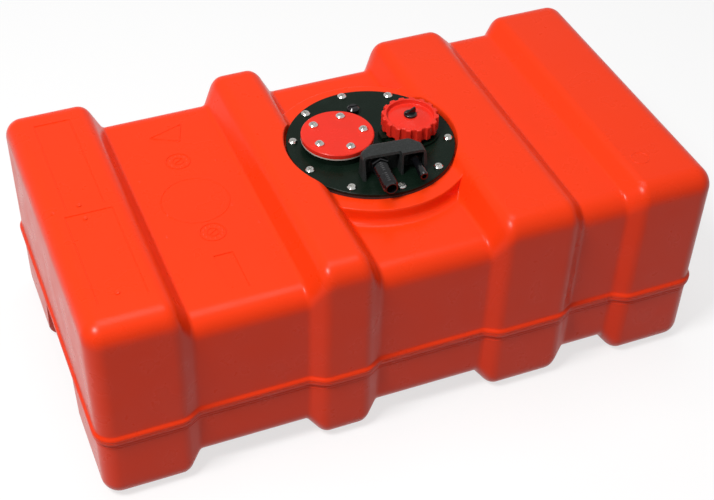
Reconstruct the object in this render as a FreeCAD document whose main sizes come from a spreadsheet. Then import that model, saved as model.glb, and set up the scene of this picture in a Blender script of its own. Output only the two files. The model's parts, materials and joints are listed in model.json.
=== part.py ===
import FreeCAD, Part
import math
import os
import re
import Sketcher
from FreeCAD import Placement, Rotation, Vector

os.makedirs("parts", exist_ok=True)
doc = FreeCAD.newDocument("fuel_tank")

# Driving sizes, in millimetres, degrees and counts.
# X runs along the tank, -Y faces the hose fittings, Z is up, and the origin is
# on the ground under the middle of the tank.
SIZES = {
    # Tank form
    "tank_length": 650,
    "tank_width": 350,
    "tank_height": 230,
    "shell_wall": 5,
    "seam_level": 85.5,
    "bead_out": 2.8,
    "bead_height": 5,
    "corner_round": 21,
    "end_round": 18,
    "crest_round": 10,
    "foot_round": 6,
    # Ribs and valleys
    "first_rib_width": 93,
    "second_rib_middle": -73,
    "second_rib_width": 59,
    "third_rib_middle": 130,
    "third_rib_width": 85,
    "last_rib_width": 88,
    "flank_run": 15,
    "flank_share": 0.5,
    "valley_drop": 27.5,
    "last_valley_drop": 13.7,
    "valley_side": 9.1,
    "valley_base": 17.7,
    # Hand recess in each end
    "grip_width": 112,
    "grip_flare": 14,
    "grip_height": 68,
    "grip_depth": 42,
    # Round pad for the flange plate
    "plate_x": 21.9,
    "plate_y": 6.1,
    "pad_rise": 16,
    "pad_reach": 105,
    "pad_thick": 15,
    "port_radius": 65,
    "recess_gap": 3,
    # Cutting tools run past the faces that they open
    "overshoot": 1,
    "block_margin": 20,
    # Flange plate
    "plate_radius": 87.2,
    "plate_thick": 3.2,
    "plate_bevel": 0.6,
    "gasket_thick": 2.8,
    "fittings_turn": -4.5,
    "spigot_drop": 6,
    "spigot_wall": 3,
    "spigot_gap": 0.5,
    # Screws into brass inserts
    "plate_screw_circle": 80,
    "plate_screw_count": 10,
    "screw_radius": 2.5,
    "screw_head_radius": 4.7,
    "screw_head_height": 3,
    "screw_head_crown": 1.2,
    "screw_slot_width": 1.1,
    "screw_slot_length": 5.2,
    "screw_slot_depth": 1.7,
    "plate_screw_reach": 14,
    "tip_chamfer": 0.5,
    "screw_gap": 0.25,
    "insert_radius": 3.5,
    "insert_length": 9,
    "insert_gap": 0.05,
    "insert_relief": 2,
    # Sender cover
    "sender_x": -34.6,
    "sender_y": 4.2,
    "sender_radius": 37.6,
    "sender_rim_gap": 1.2,
    "sender_boss_rise": 7.5,
    "sender_hole_radius": 20,
    "sender_gasket_thick": 1.5,
    "sender_cover_thick": 5,
    "sender_bevel": 0.8,
    "sender_screw_circle": 27,
    "sender_screw_count": 5,
    "sender_screw_turn": 66.8,
    "sender_screw_reach": 13,
    "sender_insert_length": 7,
    # Filler neck and cap
    "cap_x": 43.6,
    "cap_y": 4.3,
    "cap_radius": 29.6,
    "cap_height": 15.5,
    "cap_foot": 6.5,
    "cap_bevel": 1,
    "cap_dish_radius": 24,
    "cap_dish_depth": 5,
    "cap_centre_radius": 9,
    "cap_centre_drop": 1.5,
    "cap_floor": 3,
    "cap_grip_count": 16,
    "cap_grip_radius": 2.9,
    "cap_grip_depth": 2.2,
    "cap_gasket_thick": 2,
    "neck_radius": 24,
    "neck_bore": 19,
    "neck_collar_radius": 31.5,
    "neck_collar_height": 2.5,
    "neck_lug_reach": 4,
    "neck_lug_y": 0,
    "neck_lug_width": 12,
    "neck_lug_height": 5,
    "thread_pitch": 5,
    "thread_height": 1.8,
    "thread_foot": 1.8,
    "thread_tip": 1,
    "thread_start": 0.2,
    "thread_rise": 4.6,
    "thread_gap": 0.4,
    "thread_root": 0.5,
    "seat_gap": 0.05,
    # Vent screw in the cap
    "vent_radius": 2.5,
    "vent_gap": 0.1,
    "vent_flange_radius": 6.7,
    "vent_flange_height": 2.5,
    "vent_flange_bevel": 0.6,
    "vent_tail": 6,
    "vent_wing_length": 13,
    "vent_wing_height": 7,
    "vent_wing_thick": 2.6,
    "vent_wing_root": 0.5,
    "vent_wing_low_end": 2.7,
    "vent_wing_corner": 2,
    "vent_wing_crest": 3,
    "vent_wing_turn": 8,
    "vent_seal_radius": 4.2,
    "vent_seal_thick": 1.2,
    # Fitting housing
    "housing_left": -25,
    "housing_right": 40,
    "housing_front": -61,
    "housing_back": -33,
    "housing_height": 25,
    "housing_draft": 3,
    "left_bevel_along": 16,
    "left_bevel_back": 11,
    "right_bevel_along": 11,
    "right_bevel_back": 12,
    "bay_depth": 12,
    "bay_height": 22.3,
    "vent_bay_left": -21.5,
    "vent_bay_right": 12,
    "fuel_bay_left": 14.5,
    "fuel_bay_right": 35.5,
    "fitting_level": 11,
    "passage_back": 7.2,
    "vent_passage_radius": 5,
    "fuel_passage_radius": 3,
    "seal_land": 0.4,
    "seal_width": 1.2,
    "seal_thick": 1.2,
    "housing_screw_radius": 1.75,
    "housing_screw_head": 3.4,
    "housing_screw_cap": 2.2,
    "housing_screw_reach": 12,
    "pilot_relief": 1,
    "left_screw_x": -19,
    "left_screw_y": -45.2,
    "back_screw_x": 4.5,
    "back_screw_y": -37.5,
    "web_screw_y": -45,
    # Hose barbs
    "vent_x": -8.7,
    "vent_stub_radius": 6.5,
    "vent_stub_length": 5,
    "vent_washer_radius": 10.4,
    "washer_thick": 1.5,
    "vent_hex_flats": 17,
    "vent_hex_length": 6,
    "vent_core_radius": 6.9,
    "vent_ring_radius": 8,
    "vent_ring_pitch": 2.9,
    "vent_ring_land": 0.8,
    "vent_ring_foot": 2.3,
    "vent_ring_count": 5,
    "vent_group_gap": 2.4,
    "vent_bore_radius": 5,
    "vent_lead": 2.5,
    "fuel_x": 28.3,
    "fuel_stub_radius": 4,
    "fuel_stub_length": 5,
    "fuel_washer_radius": 6.5,
    "fuel_nut_flats": 11,
    "fuel_nut_length": 6,
    "fuel_core_radius": 3.9,
    "fuel_end_radius": 4.6,
    "fuel_end_land": 8,
    "fuel_end_lead": 2,
    "fuel_barb_length": 34.5,
    "fuel_bore_radius": 2.5,
    # Pickup inside the tank
    "pickup_radius": 4,
    "pickup_bore": 3,
    "pickup_socket_radius": 7.5,
    "pickup_socket_drop": 9,
    "strainer_radius": 8,
    "strainer_length": 26,
    "strainer_lap": 8,
    "strainer_wall": 1.5,
    "strainer_clear": 8,
    # Return plug
    "plug_x": -2.7,
    "plug_y": 51.4,
    "plug_head_radius": 6.5,
    "plug_head_height": 6,
    "plug_crown": 2,
    "plug_radius": 4.5,
    "plug_tail": 7,
    "plug_seal_thick": 1.5,
    "plug_slot_width": 1.6,
    "plug_slot_depth": 1.5,
}

sheet = doc.addObject("Spreadsheet::Sheet", "sizes")
for row, (alias, value) in enumerate(SIZES.items(), start=1):
    sheet.set(f"A{row}", alias)
    sheet.set(f"B{row}", str(value))
    sheet.setAlias(f"B{row}", alias)
doc.recompute()

# Levels and reaches that several pieces share
VALLEY_LEVEL = "(tank_height - valley_drop)"
PAD_LEVEL = f"({VALLEY_LEVEL} + pad_rise)"
PLATE_BOTTOM = f"({PAD_LEVEL} + gasket_thick)"
PLATE_TOP = f"({PLATE_BOTTOM} + plate_thick)"
RECESS_RADIUS = "(plate_radius + recess_gap)"
SENDER_SEAT = f"({PLATE_TOP} + sender_boss_rise)"
CAP_CEILING = "(cap_foot + cap_height - cap_dish_depth - cap_floor)"
CAP_CENTRE = "(cap_foot + cap_height - cap_centre_drop)"
CENTRE_THICK = "(cap_dish_depth - cap_centre_drop + cap_floor)"
NECK_TOP = f"({CAP_CEILING} - cap_gasket_thick - 2 * seat_gap)"
SKIRT_RADIUS = "(neck_radius + thread_height + thread_gap)"
CAP_THREAD = "(cap_foot + thread_foot / 2 + thread_start)"
BAY_BACK = "(housing_front + bay_depth)"
PASSAGE_Y = f"({BAY_BACK} + passage_back)"
WEB_MIDDLE = "((vent_bay_right + fuel_bay_left) / 2)"
SCREW_HOLE = "(screw_radius + screw_gap)"


def linked(text):
    """The expression with each named size written as a reference to the sheet."""
    return re.sub(r"[a-z][a-z_]+", lambda word: prefixed(word.group(0)), text)


def prefixed(word):
    return "sizes." + word if word in SIZES else word


def size(text):
    return float(sheet.evalExpression(text))


def count(alias):
    return int(round(size(alias)))


def bind(owner, prop, text):
    owner.setExpression(prop, linked(text))


def plate_point(along, across):
    """World X and Y of a place given on the turned layout of the flange plate."""
    cosine = "cos(fittings_turn * 1deg)"
    sine = "sin(fittings_turn * 1deg)"
    x = f"plate_x + ({along}) * {cosine} - ({across}) * {sine}"
    y = f"plate_y + ({along}) * {sine} + ({across}) * {cosine}"
    return x, y


# Helpers for bodies, sketches and features

def place(owner, x, y, z, rotation=None):
    owner.Placement = Placement(Vector(size(x), size(y), size(z)), rotation or Rotation())
    for axis, text in (("x", x), ("y", y), ("z", z)):
        bind(owner, f"Placement.Base.{axis}", text)


def plate_turn():
    return Rotation(Vector(0, 0, 1), size("fittings_turn"))


def new_body(label, x, y, z, rotation=None):
    body = doc.addObject("PartDesign::Body", label)
    body.Label = label
    place(body, x, y, z, rotation)
    return body


def origin_feature(body, role):
    return [item for item in body.Origin.OriginFeatures if item.Role == role][0]


def new_sketch(body, label, plane, offset=("0", "0", "0")):
    sketch = body.newObject("Sketcher::SketchObject", label)
    sketch.AttachmentSupport = (origin_feature(body, plane), [""])
    sketch.MapMode = "FlatFace"
    sketch.AttachmentOffset = Placement(Vector(*(size(text) for text in offset)), Rotation())
    for axis, text in zip("xyz", offset):
        bind(sketch, f"AttachmentOffset.Base.{axis}", text)
    return sketch


def pin(sketch, kind, item, end, text):
    """Holds one coordinate of a point of the sketch at a size."""
    constraint = Sketcher.Constraint(kind, -1, 1, item, end, size(text))
    index = sketch.addConstraint(constraint)
    bind(sketch, f"Constraints[{index}]", text)


def outline(sketch, corners):
    """A closed outline of straight edges through corners given as size texts."""
    points = [Vector(size(u), size(v), 0) for u, v in corners]
    first = sketch.GeometryCount
    total = len(corners)
    for i in range(total):
        sketch.addGeometry(Part.LineSegment(points[i], points[(i + 1) % total]), False)
    for i in range(total):
        following = first + (i + 1) % total
        sketch.addConstraint(Sketcher.Constraint("Coincident", first + i, 2, following, 1))
    for i, (u, v) in enumerate(corners):
        pin(sketch, "DistanceX", first + i, 1, u)
        pin(sketch, "DistanceY", first + i, 1, v)


def circle(sketch, u, v, radius):
    shape = Part.Circle(Vector(size(u), size(v), 0), Vector(0, 0, 1), size(radius))
    item = sketch.addGeometry(shape, False)
    pin(sketch, "DistanceX", item, 3, u)
    pin(sketch, "DistanceY", item, 3, v)
    index = sketch.addConstraint(Sketcher.Constraint("Radius", item, size(radius)))
    bind(sketch, f"Constraints[{index}]", radius)


def circles_on_ring(sketch, middle, ring, hole, turn, copies):
    """Equal circles spread round a ring."""
    for i in range(copies):
        angle = f"(({turn}) + {i} * 360 / {copies}) * 1deg"
        u = f"({middle[0]}) + {ring} * cos({angle})"
        v = f"({middle[1]}) + {ring} * sin({angle})"
        circle(sketch, u, v, hole)


def hexagon(sketch, flats):
    """A hexagon round the sketch's origin with two upright flats."""
    half = f"({flats} / 2)"
    point = f"({flats} / sqrt(3))"
    outline(sketch, [(half, f"0 - {point} / 2"), (half, f"{point} / 2"), ("0", point),
                     (f"0 - {half}", f"{point} / 2"), (f"0 - {half}", f"0 - {point} / 2"),
                     ("0", f"0 - {point}")])


def grown(body, feature):
    """Makes sure that an adding feature really added material."""
    body.Tip = feature
    doc.recompute()
    if feature.Shape.isNull() or feature.Shape.Volume <= feature.BaseFeature.Shape.Volume:
        raise RuntimeError(feature.Label + " adds nothing")
    return feature


def cut_down(body, feature):
    """Makes sure that a cutting feature really removed material."""
    body.Tip = feature
    doc.recompute()
    if feature.Shape.isNull() or feature.Shape.Volume >= feature.BaseFeature.Shape.Volume:
        raise RuntimeError(feature.Label + " cuts nothing")
    return feature


def revolve(body, label, sketch):
    feature = body.newObject("PartDesign::Revolution", label)
    feature.Profile = sketch
    feature.ReferenceAxis = (sketch, ["V_Axis"])
    feature.Angle = 360
    doc.recompute()
    return feature


def pad(body, label, sketch, length, reverse=False, draft=None):
    feature = body.newObject("PartDesign::Pad", label)
    feature.Profile = sketch
    feature.Length = size(length)
    bind(feature, "Length", length)
    feature.Reversed = reverse
    if draft:
        feature.TaperAngle = size(draft)
        bind(feature, "TaperAngle", draft)
    doc.recompute()
    return feature


def pocket(body, label, sketch, depth):
    feature = body.newObject("PartDesign::Pocket", label)
    feature.Profile = sketch
    feature.Length = size(depth)
    bind(feature, "Length", depth)
    return cut_down(body, feature)


def helix(body, label, sketch, rise):
    feature = body.newObject("PartDesign::AdditiveHelix", label)
    feature.Profile = sketch
    feature.ReferenceAxis = (sketch, ["V_Axis"])
    feature.Mode = 0
    feature.Pitch = size("thread_pitch")
    feature.Height = size(rise)
    feature.Angle = 0
    bind(feature, "Pitch", "thread_pitch")
    bind(feature, "Height", rise)
    return grown(body, feature)


def spread(body, label, features, copies):
    """Repeats features round the body's upright axis."""
    feature = body.newObject("PartDesign::PolarPattern", label)
    feature.Originals = features
    feature.Axis = (origin_feature(body, "Z_Axis"), [""])
    feature.Angle = 360
    feature.Occurrences = count(copies)
    bind(feature, "Occurrences", copies)
    body.Tip = feature
    doc.recompute()
    return feature


def box(label, x, y, z, length, width, height):
    solid = doc.addObject("Part::Box", label)
    place(solid, x, y, z)
    for prop, text in (("Length", length), ("Width", width), ("Height", height)):
        setattr(solid, prop, size(text))
        bind(solid, prop, text)
    return solid


def cylinder(label, x, y, z, radius, height):
    solid = doc.addObject("Part::Cylinder", label)
    place(solid, x, y, z)
    for prop, text in (("Radius", radius), ("Height", height)):
        setattr(solid, prop, size(text))
        bind(solid, prop, text)
    return solid


def cut(label, base, tool):
    solid = doc.addObject("Part::Cut", label)
    solid.Base = base
    solid.Tool = tool
    return solid


def common(label, base, tool):
    solid = doc.addObject("Part::Common", label)
    solid.Base = base
    solid.Tool = tool
    return solid


def fuse(label, items):
    solid = doc.addObject("Part::MultiFuse", label)
    solid.Shapes = items
    return solid


# Tank form: ring sections across the length, joined by straight flanks

def ring_section(label, x, half, base, crown, corner):
    """A rounded rectangle across the tank, on a plane square to X."""
    sketch = doc.addObject("Sketcher::SketchObject", label)
    place(sketch, x, "0", "0", Rotation(0.5, 0.5, 0.5, 0.5))
    w, low, high, r = (size(text) for text in (half, base, crown, corner))
    lines = [((r - w, low), (w - r, low)), ((w, low + r), (w, high - r)),
             ((w - r, high), (r - w, high)), ((-w, high - r), (-w, low + r))]
    for start, stop in lines:
        sketch.addGeometry(Part.LineSegment(Vector(*start, 0), Vector(*stop, 0)), False)
    centres = [(w - r, low + r), (w - r, high - r), (r - w, high - r), (r - w, low + r)]
    for i, (u, v) in enumerate(centres):
        full = Part.Circle(Vector(u, v, 0), Vector(0, 0, 1), r)
        start = math.radians(270 + 90 * i)
        sketch.addGeometry(Part.ArcOfCircle(full, start, start + math.pi / 2), False)
    for i in range(4):
        sketch.addConstraint(Sketcher.Constraint("Tangent", i, 2, 4 + i, 1))
        sketch.addConstraint(Sketcher.Constraint("Tangent", 4 + i, 2, (i + 1) % 4, 1))
        sketch.addConstraint(Sketcher.Constraint("Horizontal" if i % 2 == 0 else "Vertical", i))
    for i in range(1, 4):
        sketch.addConstraint(Sketcher.Constraint("Equal", 4, 4 + i))
    index = sketch.addConstraint(Sketcher.Constraint("Radius", 4, r))
    bind(sketch, f"Constraints[{index}]", corner)
    pin(sketch, "DistanceY", 0, 1, base)
    pin(sketch, "DistanceX", 1, 1, half)
    pin(sketch, "DistanceY", 2, 1, crown)
    pin(sketch, "DistanceX", 3, 1, f"0 - ({half})")
    return sketch


def ring_stations(inset):
    """X of each ring section from the left end to the right one, with its kind.

    A flank runs half of flank_run to each side of the rib's stated edge. A form
    that is set in by a wall has its flanks set in by flank_share of that wall.
    """
    end = f"tank_length / 2 - ({inset})"
    shift = f"({inset}) * flank_share"
    half_run = "flank_run / 2"
    edges = [
        ("first_rib_width - tank_length / 2", 1, "valley"),
        ("second_rib_middle - second_rib_width / 2", -1, "valley"),
        ("second_rib_middle + second_rib_width / 2", 1, "valley"),
        ("third_rib_middle - third_rib_width / 2", -1, "valley"),
        ("third_rib_middle + third_rib_width / 2", 1, "last_valley"),
        ("tank_length / 2 - last_rib_width", -1, "last_valley"),
    ]
    stations = [(f"0 - ({end})", "rib")]
    for edge, side, floor in edges:
        crest = (f"{edge} - {side} * ({half_run} + {shift})", "rib")
        foot = (f"{edge} + {side} * ({half_run} - {shift})", floor)
        stations += [crest, foot] if side > 0 else [foot, crest]
    stations.append((end, "rib"))
    return stations


def tank_form(label, inset, rounded_kinds):
    """The whole ribbed tank as one solid, set in by a wall or out by a bead."""
    rings = []
    for i, (x, kind) in enumerate(ring_stations(inset)):
        if kind == "rib":
            half, base, crown = "tank_width / 2", "0", "tank_height"
        else:
            drop = "valley_drop" if kind == "valley" else "last_valley_drop"
            half, base, crown = "tank_width / 2 - valley_side", "valley_base", f"tank_height - {drop}"
        rings.append(ring_section(f"{label}_ring_{i}", x, f"{half} - ({inset})", f"{base} + ({inset})",
                                  f"{crown} - ({inset})", f"corner_round - ({inset})"))
    doc.recompute()
    loft = doc.addObject("Part::Loft", label + "_loft")
    loft.Sections = rings
    loft.Solid = True
    loft.Ruled = True
    doc.recompute()
    rounded = doc.addObject("Part::Fillet", label)
    rounded.Base = loft
    rounded.Edges = form_rounds(loft.Shape, inset, rounded_kinds)
    doc.recompute()
    return rounded


def form_rounds(shape, inset, rounded_kinds):
    """The edges round each ring section, with the radius that its kind has."""
    radius = {"end": size(f"end_round - ({inset})"),
              "crest": size(f"crest_round - ({inset})"),
              "foot": size(f"foot_round + ({inset})")}
    stations = [(size(x), kind) for x, kind in ring_stations(inset)]
    rounds = []
    for number, edge in enumerate(shape.Edges, start=1):
        bounds = edge.BoundBox
        if bounds.XLength > 0.001:
            continue
        for i, (x, kind) in enumerate(stations):
            at_end = i in (0, len(stations) - 1)
            edge_kind = "end" if at_end else "crest" if kind == "rib" else "foot"
            if abs(bounds.XMin - x) < 0.001 and edge_kind in rounded_kinds:
                rounds.append((number, radius[edge_kind], radius[edge_kind]))
    return rounds


def grip_block(label, side, grow):
    """The hand recess of one end, or the block whose faces are its walls."""
    sketch = doc.addObject("Sketcher::SketchObject", label + "_outline")
    depth = f"(grip_depth + {grow})"
    start = "0 - tank_length / 2 - overshoot" if side < 0 else f"tank_length / 2 - {depth}"
    place(sketch, start, "0", "0", Rotation(0.5, 0.5, 0.5, 0.5))
    foot = f"(grip_width / 2 + grip_flare + {grow})"
    head = f"(grip_width / 2 + {grow})"
    outline(sketch, [(f"0 - {foot}", "0 - overshoot"), (foot, "0 - overshoot"),
                     (head, f"grip_height + {grow}"), (f"0 - {head}", f"grip_height + {grow}")])
    block = doc.addObject("Part::Extrusion", label)
    block.Base = sketch
    block.DirMode = "Normal"
    block.Solid = True
    block.LengthFwd = size(f"{depth} + overshoot")
    bind(block, "LengthFwd", f"{depth} + overshoot")
    return block


def ring_of_holes(label, ring, radius, level, depth, copies, turn):
    """Upright holes round the middle of the flange plate."""
    holes = []
    for i in range(count(copies)):
        angle = f"({turn} + {i} * 360 / {copies}) * 1deg"
        holes.append(cylinder(f"{label}_{i}", f"plate_x + {ring} * cos({angle})",
                              f"plate_y + {ring} * sin({angle})", f"{level} - ({depth})",
                              radius, f"{depth} + overshoot"))
    return fuse(label, holes)


def tank_shells():
    """The two welded halves: one ribbed form, hollowed, and parted at the seam."""
    outer = tank_form("outer_form", "0", ("end", "crest", "foot"))
    inner = tank_form("inner_form", "shell_wall", ("end",))
    bead_form = tank_form("bead_form", "0 - bead_out", ("end",))
    far = "tank_length / 2 + block_margin"
    side = "tank_width / 2 + block_margin"
    above = box("above_seam", f"0 - ({far})", f"0 - ({side})", "seam_level",
                f"2 * ({far})", f"2 * ({side})", "tank_height")
    below = box("below_seam", f"0 - ({far})", f"0 - ({side})", "seam_level - tank_height",
                f"2 * ({far})", f"2 * ({side})", "tank_height")
    bead_slab = box("bead_slab", f"0 - ({far})", f"0 - ({side})", "seam_level",
                    f"2 * ({far})", f"2 * ({side})", "bead_height")

    # Pad, its recess in the two middle ribs, and the room under it
    under = f"({PAD_LEVEL} - pad_thick)"
    room = "(corner_round + shell_wall)"
    pad_block = cylinder("pad_block", "plate_x", "plate_y", under, "pad_reach", "pad_thick")
    pad_recess = cylinder("pad_recess", "plate_x", "plate_y", PAD_LEVEL, RECESS_RADIUS,
                          "tank_height")
    pad_room = cylinder("pad_room", "plate_x", "plate_y", f"{under} - {room}",
                        "pad_reach - shell_wall", room)
    pad_core = cylinder("pad_core", "plate_x", "plate_y", under,
                        f"{RECESS_RADIUS} + shell_wall", "tank_height")
    port = cylinder("port", "plate_x", "plate_y", f"{under} - overshoot", "port_radius",
                    "pad_thick + 2 * overshoot")
    insert_holes = ring_of_holes("flange_insert_holes", "plate_screw_circle", "insert_radius",
                                 PAD_LEVEL, "insert_length + insert_relief", "plate_screw_count", "90")

    hollow = cut("upper_hollow", fuse("upper_room", [inner, pad_room]), pad_core)
    upper_skin = common("upper_skin", outer, above)
    bead = common("bead", bead_form, bead_slab)
    upper_blank = fuse("upper_blank", [upper_skin, bead, pad_block])
    upper_opened = cut("upper_opened", upper_blank, hollow)
    upper = cut("upper_shell", upper_opened,
                fuse("upper_cuts", [pad_recess, port, insert_holes]))

    grips = fuse("grips", [grip_block("left_grip", -1, "0"), grip_block("right_grip", 1, "0")])
    grip_walls = fuse("grip_walls", [grip_block("left_grip_wall", -1, "shell_wall"),
                                     grip_block("right_grip_wall", 1, "shell_wall")])
    lower_hollow = cut("lower_hollow", inner, grip_walls)
    lower_skin = common("lower_skin", outer, below)
    lower_opened = cut("lower_opened", lower_skin, lower_hollow)
    lower = cut("lower_shell", lower_opened, grips)
    doc.recompute()
    return [upper, lower]


# Fasteners

def screw_group(label, x, y, z, ring, turn, head, crown, shank, reach, copies):
    """Pan-head screws with a cross recess round an axis, as separate solids."""
    body = new_body(label, x, y, z, Rotation(Vector(0, 0, 1), size(turn)))
    profile = new_sketch(body, label + "_profile", "XZ_Plane", (ring, "0", "0"))
    height, top = head[1], f"({head[0]} - {crown})"
    outline(profile, [("0", f"0 - {reach}"), (f"{shank} - tip_chamfer", f"0 - {reach}"),
                      (shank, f"tip_chamfer - {reach}"), (shank, "0"), (head[0], "0"),
                      (head[0], f"{height} - {crown}"), (top, height), ("0", height)])
    solid = revolve(body, label + "_turned", profile)
    body.Tip = solid
    features = [solid]
    half, wide = "(screw_slot_length / 2)", "(screw_slot_width / 2)"
    for name, along, across in (("slot", half, wide), ("cross_slot", wide, half)):
        sketch = new_sketch(body, f"{label}_{name}_outline", "XY_Plane", ("0", "0", height))
        outline(sketch, [(f"{ring} - {along}", f"0 - {across}"), (f"{ring} + {along}", f"0 - {across}"),
                         (f"{ring} + {along}", across), (f"{ring} - {along}", across)])
        features.append(pocket(body, f"{label}_{name}", sketch, "screw_slot_depth"))
    spread(body, label + "_ring", features, copies)
    return body


def insert_group(label, x, y, z, ring, turn, length, copies):
    """Threaded brass inserts round an axis, as separate solids."""
    body = new_body(label, x, y, z, Rotation(Vector(0, 0, 1), size(turn)))
    profile = new_sketch(body, label + "_profile", "XZ_Plane", (ring, "0", "0"))
    bore = "(screw_radius + insert_gap)"
    outline(profile, [(bore, f"0 - {length}"), ("insert_radius", f"0 - {length}"),
                      ("insert_radius", "0"), (bore, "0")])
    solid = revolve(body, label + "_turned", profile)
    spread(body, label + "_ring", [solid], copies)
    return body


def flange_fasteners():
    screws = screw_group("flange_screws", "plate_x", "plate_y", PLATE_TOP, "plate_screw_circle", "90",
                         ("screw_head_radius", "screw_head_height"), "screw_head_crown", "screw_radius",
                         "plate_screw_reach", "plate_screw_count")
    inserts = insert_group("flange_inserts", "plate_x", "plate_y", PAD_LEVEL, "plate_screw_circle",
                           "90", "insert_length", "plate_screw_count")
    return [screws, inserts]


def sender_fasteners():
    x, y = plate_point("sender_x", "sender_y")
    turn = "fittings_turn + sender_screw_turn"
    cover_top = f"{SENDER_SEAT} + sender_gasket_thick + sender_cover_thick"
    screws = screw_group("sender_screws", x, y, cover_top, "sender_screw_circle", turn,
                         ("screw_head_radius", "screw_head_height"), "screw_head_crown", "screw_radius",
                         "sender_screw_reach", "sender_screw_count")
    inserts = insert_group("sender_inserts", x, y, SENDER_SEAT, "sender_screw_circle", turn,
                           "sender_insert_length", "sender_screw_count")
    return [screws, inserts]


# Flange plate and gasket

def flange_gasket():
    body = new_body("flange_gasket", "plate_x", "plate_y", PAD_LEVEL)
    sketch = new_sketch(body, "flange_gasket_outline", "XY_Plane")
    circle(sketch, "0", "0", "plate_radius")
    circle(sketch, "0", "0", "port_radius")
    circles_on_ring(sketch, ("0", "0"), "plate_screw_circle", SCREW_HOLE, "90", count("plate_screw_count"))
    body.Tip = pad(body, "flange_gasket_sheet", sketch, "gasket_thick")
    return body


def flange_plate():
    """The black plate with its spigot, sender boss, filler neck and pickup socket."""
    body = new_body("flange_plate", "plate_x", "plate_y", PLATE_BOTTOM, plate_turn())
    profile = new_sketch(body, "plate_profile", "XZ_Plane")
    spigot = "(port_radius - spigot_gap)"
    edge = "plate_radius - plate_bevel"
    outline(profile, [("0", "0"), (f"{spigot} - spigot_wall", "0"),
                      (f"{spigot} - spigot_wall", "0 - spigot_drop"), (spigot, "0 - spigot_drop"),
                      (spigot, "0"), ("plate_radius", "0"), ("plate_radius", "plate_thick - plate_bevel"),
                      (edge, "plate_thick"), ("0", "plate_thick")])
    body.Tip = revolve(body, "plate_disc", profile)

    boss = new_sketch(body, "sender_boss_outline", "XY_Plane", ("0", "0", "plate_thick"))
    circle(boss, "sender_x", "sender_y", "sender_radius - sender_rim_gap")
    grown(body, pad(body, "sender_boss", boss, "sender_boss_rise"))

    neck = new_sketch(body, "neck_profile", "XZ_Plane", ("cap_x", "0", "0 - cap_y"))
    collar_top = "(plate_thick + neck_collar_height)"
    outline(neck, [("0", "0"), ("neck_collar_radius", "0"), ("neck_collar_radius", collar_top),
                   ("neck_radius", collar_top), ("neck_radius", f"plate_thick + {NECK_TOP}"),
                   ("0", f"plate_thick + {NECK_TOP}")])
    grown(body, revolve(body, "neck", neck))

    lug = new_sketch(body, "neck_lug_outline", "XY_Plane", ("0", "0", "plate_thick"))
    near = "cap_x - neck_collar_radius"
    low, high = "neck_lug_y - neck_lug_width / 2", "neck_lug_y + neck_lug_width / 2"
    inside = f"{near} + neck_lug_reach"
    outline(lug, [(f"{near} - neck_lug_reach / 2", low), (inside, low), (inside, high),
                  (f"{near} - neck_lug_reach / 2", high)])
    grown(body, pad(body, "neck_lug", lug, "neck_lug_height"))

    thread = new_sketch(body, "neck_thread_profile", "XZ_Plane", ("cap_x", "0", "0 - cap_y"))
    middle = f"(plate_thick + {CAP_THREAD} - thread_pitch / 2)"
    crest = "(neck_radius + thread_height)"
    outline(thread, [("neck_radius - thread_root", f"{middle} - thread_foot / 2"),
                     (crest, f"{middle} - thread_tip / 2"), (crest, f"{middle} + thread_tip / 2"),
                     ("neck_radius - thread_root", f"{middle} + thread_foot / 2")])
    helix(body, "neck_thread", thread, "thread_rise")

    socket = new_sketch(body, "pickup_socket_outline", "XY_Plane")
    circle(socket, "fuel_x", PASSAGE_Y, "pickup_socket_radius")
    grown(body, pad(body, "pickup_socket", socket, "pickup_socket_drop", reverse=True))

    top = ("0", "0", f"plate_thick + {NECK_TOP} + overshoot")
    through = f"plate_thick + {NECK_TOP} + spigot_drop + pickup_socket_drop"
    bores = new_sketch(body, "plate_bores_outline", "XY_Plane", top)
    circle(bores, "cap_x", "cap_y", "neck_bore")
    circle(bores, "sender_x", "sender_y", "sender_hole_radius")
    circle(bores, "vent_x", PASSAGE_Y, "vent_passage_radius")
    circle(bores, "fuel_x", PASSAGE_Y, "fuel_passage_radius")
    circle(bores, "plug_x", "plug_y", "plug_radius + seat_gap")
    circles_on_ring(bores, ("0", "0"), "plate_screw_circle", SCREW_HOLE, "90 - fittings_turn",
                    count("plate_screw_count"))
    for x, y in housing_screw_places():
        circle(bores, x, y, "housing_screw_radius + screw_gap")
    pocket(body, "plate_bores", bores, through)

    seats = new_sketch(body, "sender_insert_outline", "XY_Plane",
                       ("0", "0", "plate_thick + sender_boss_rise"))
    circles_on_ring(seats, ("sender_x", "sender_y"), "sender_screw_circle", "insert_radius",
                    "sender_screw_turn", count("sender_screw_count"))
    pocket(body, "sender_insert_holes", seats, "sender_insert_length + insert_relief")

    tube_seat = new_sketch(body, "pickup_seat_outline", "XY_Plane")
    circle(tube_seat, "fuel_x", PASSAGE_Y, "pickup_radius")
    pocket(body, "pickup_seat", tube_seat, "pickup_socket_drop + overshoot")
    return body


def housing_screw_places():
    return [("left_screw_x", "left_screw_y"), ("back_screw_x", "back_screw_y"),
            (WEB_MIDDLE, "web_screw_y")]


# Sender cover

def sender_gasket():
    x, y = plate_point("sender_x", "sender_y")
    body = new_body("sender_gasket", x, y, SENDER_SEAT, plate_turn())
    sketch = new_sketch(body, "sender_gasket_outline", "XY_Plane")
    circle(sketch, "0", "0", "sender_radius")
    circle(sketch, "0", "0", "sender_hole_radius")
    circles_on_ring(sketch, ("0", "0"), "sender_screw_circle", SCREW_HOLE, "sender_screw_turn",
                    count("sender_screw_count"))
    body.Tip = pad(body, "sender_gasket_sheet", sketch, "sender_gasket_thick")
    return body


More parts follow.
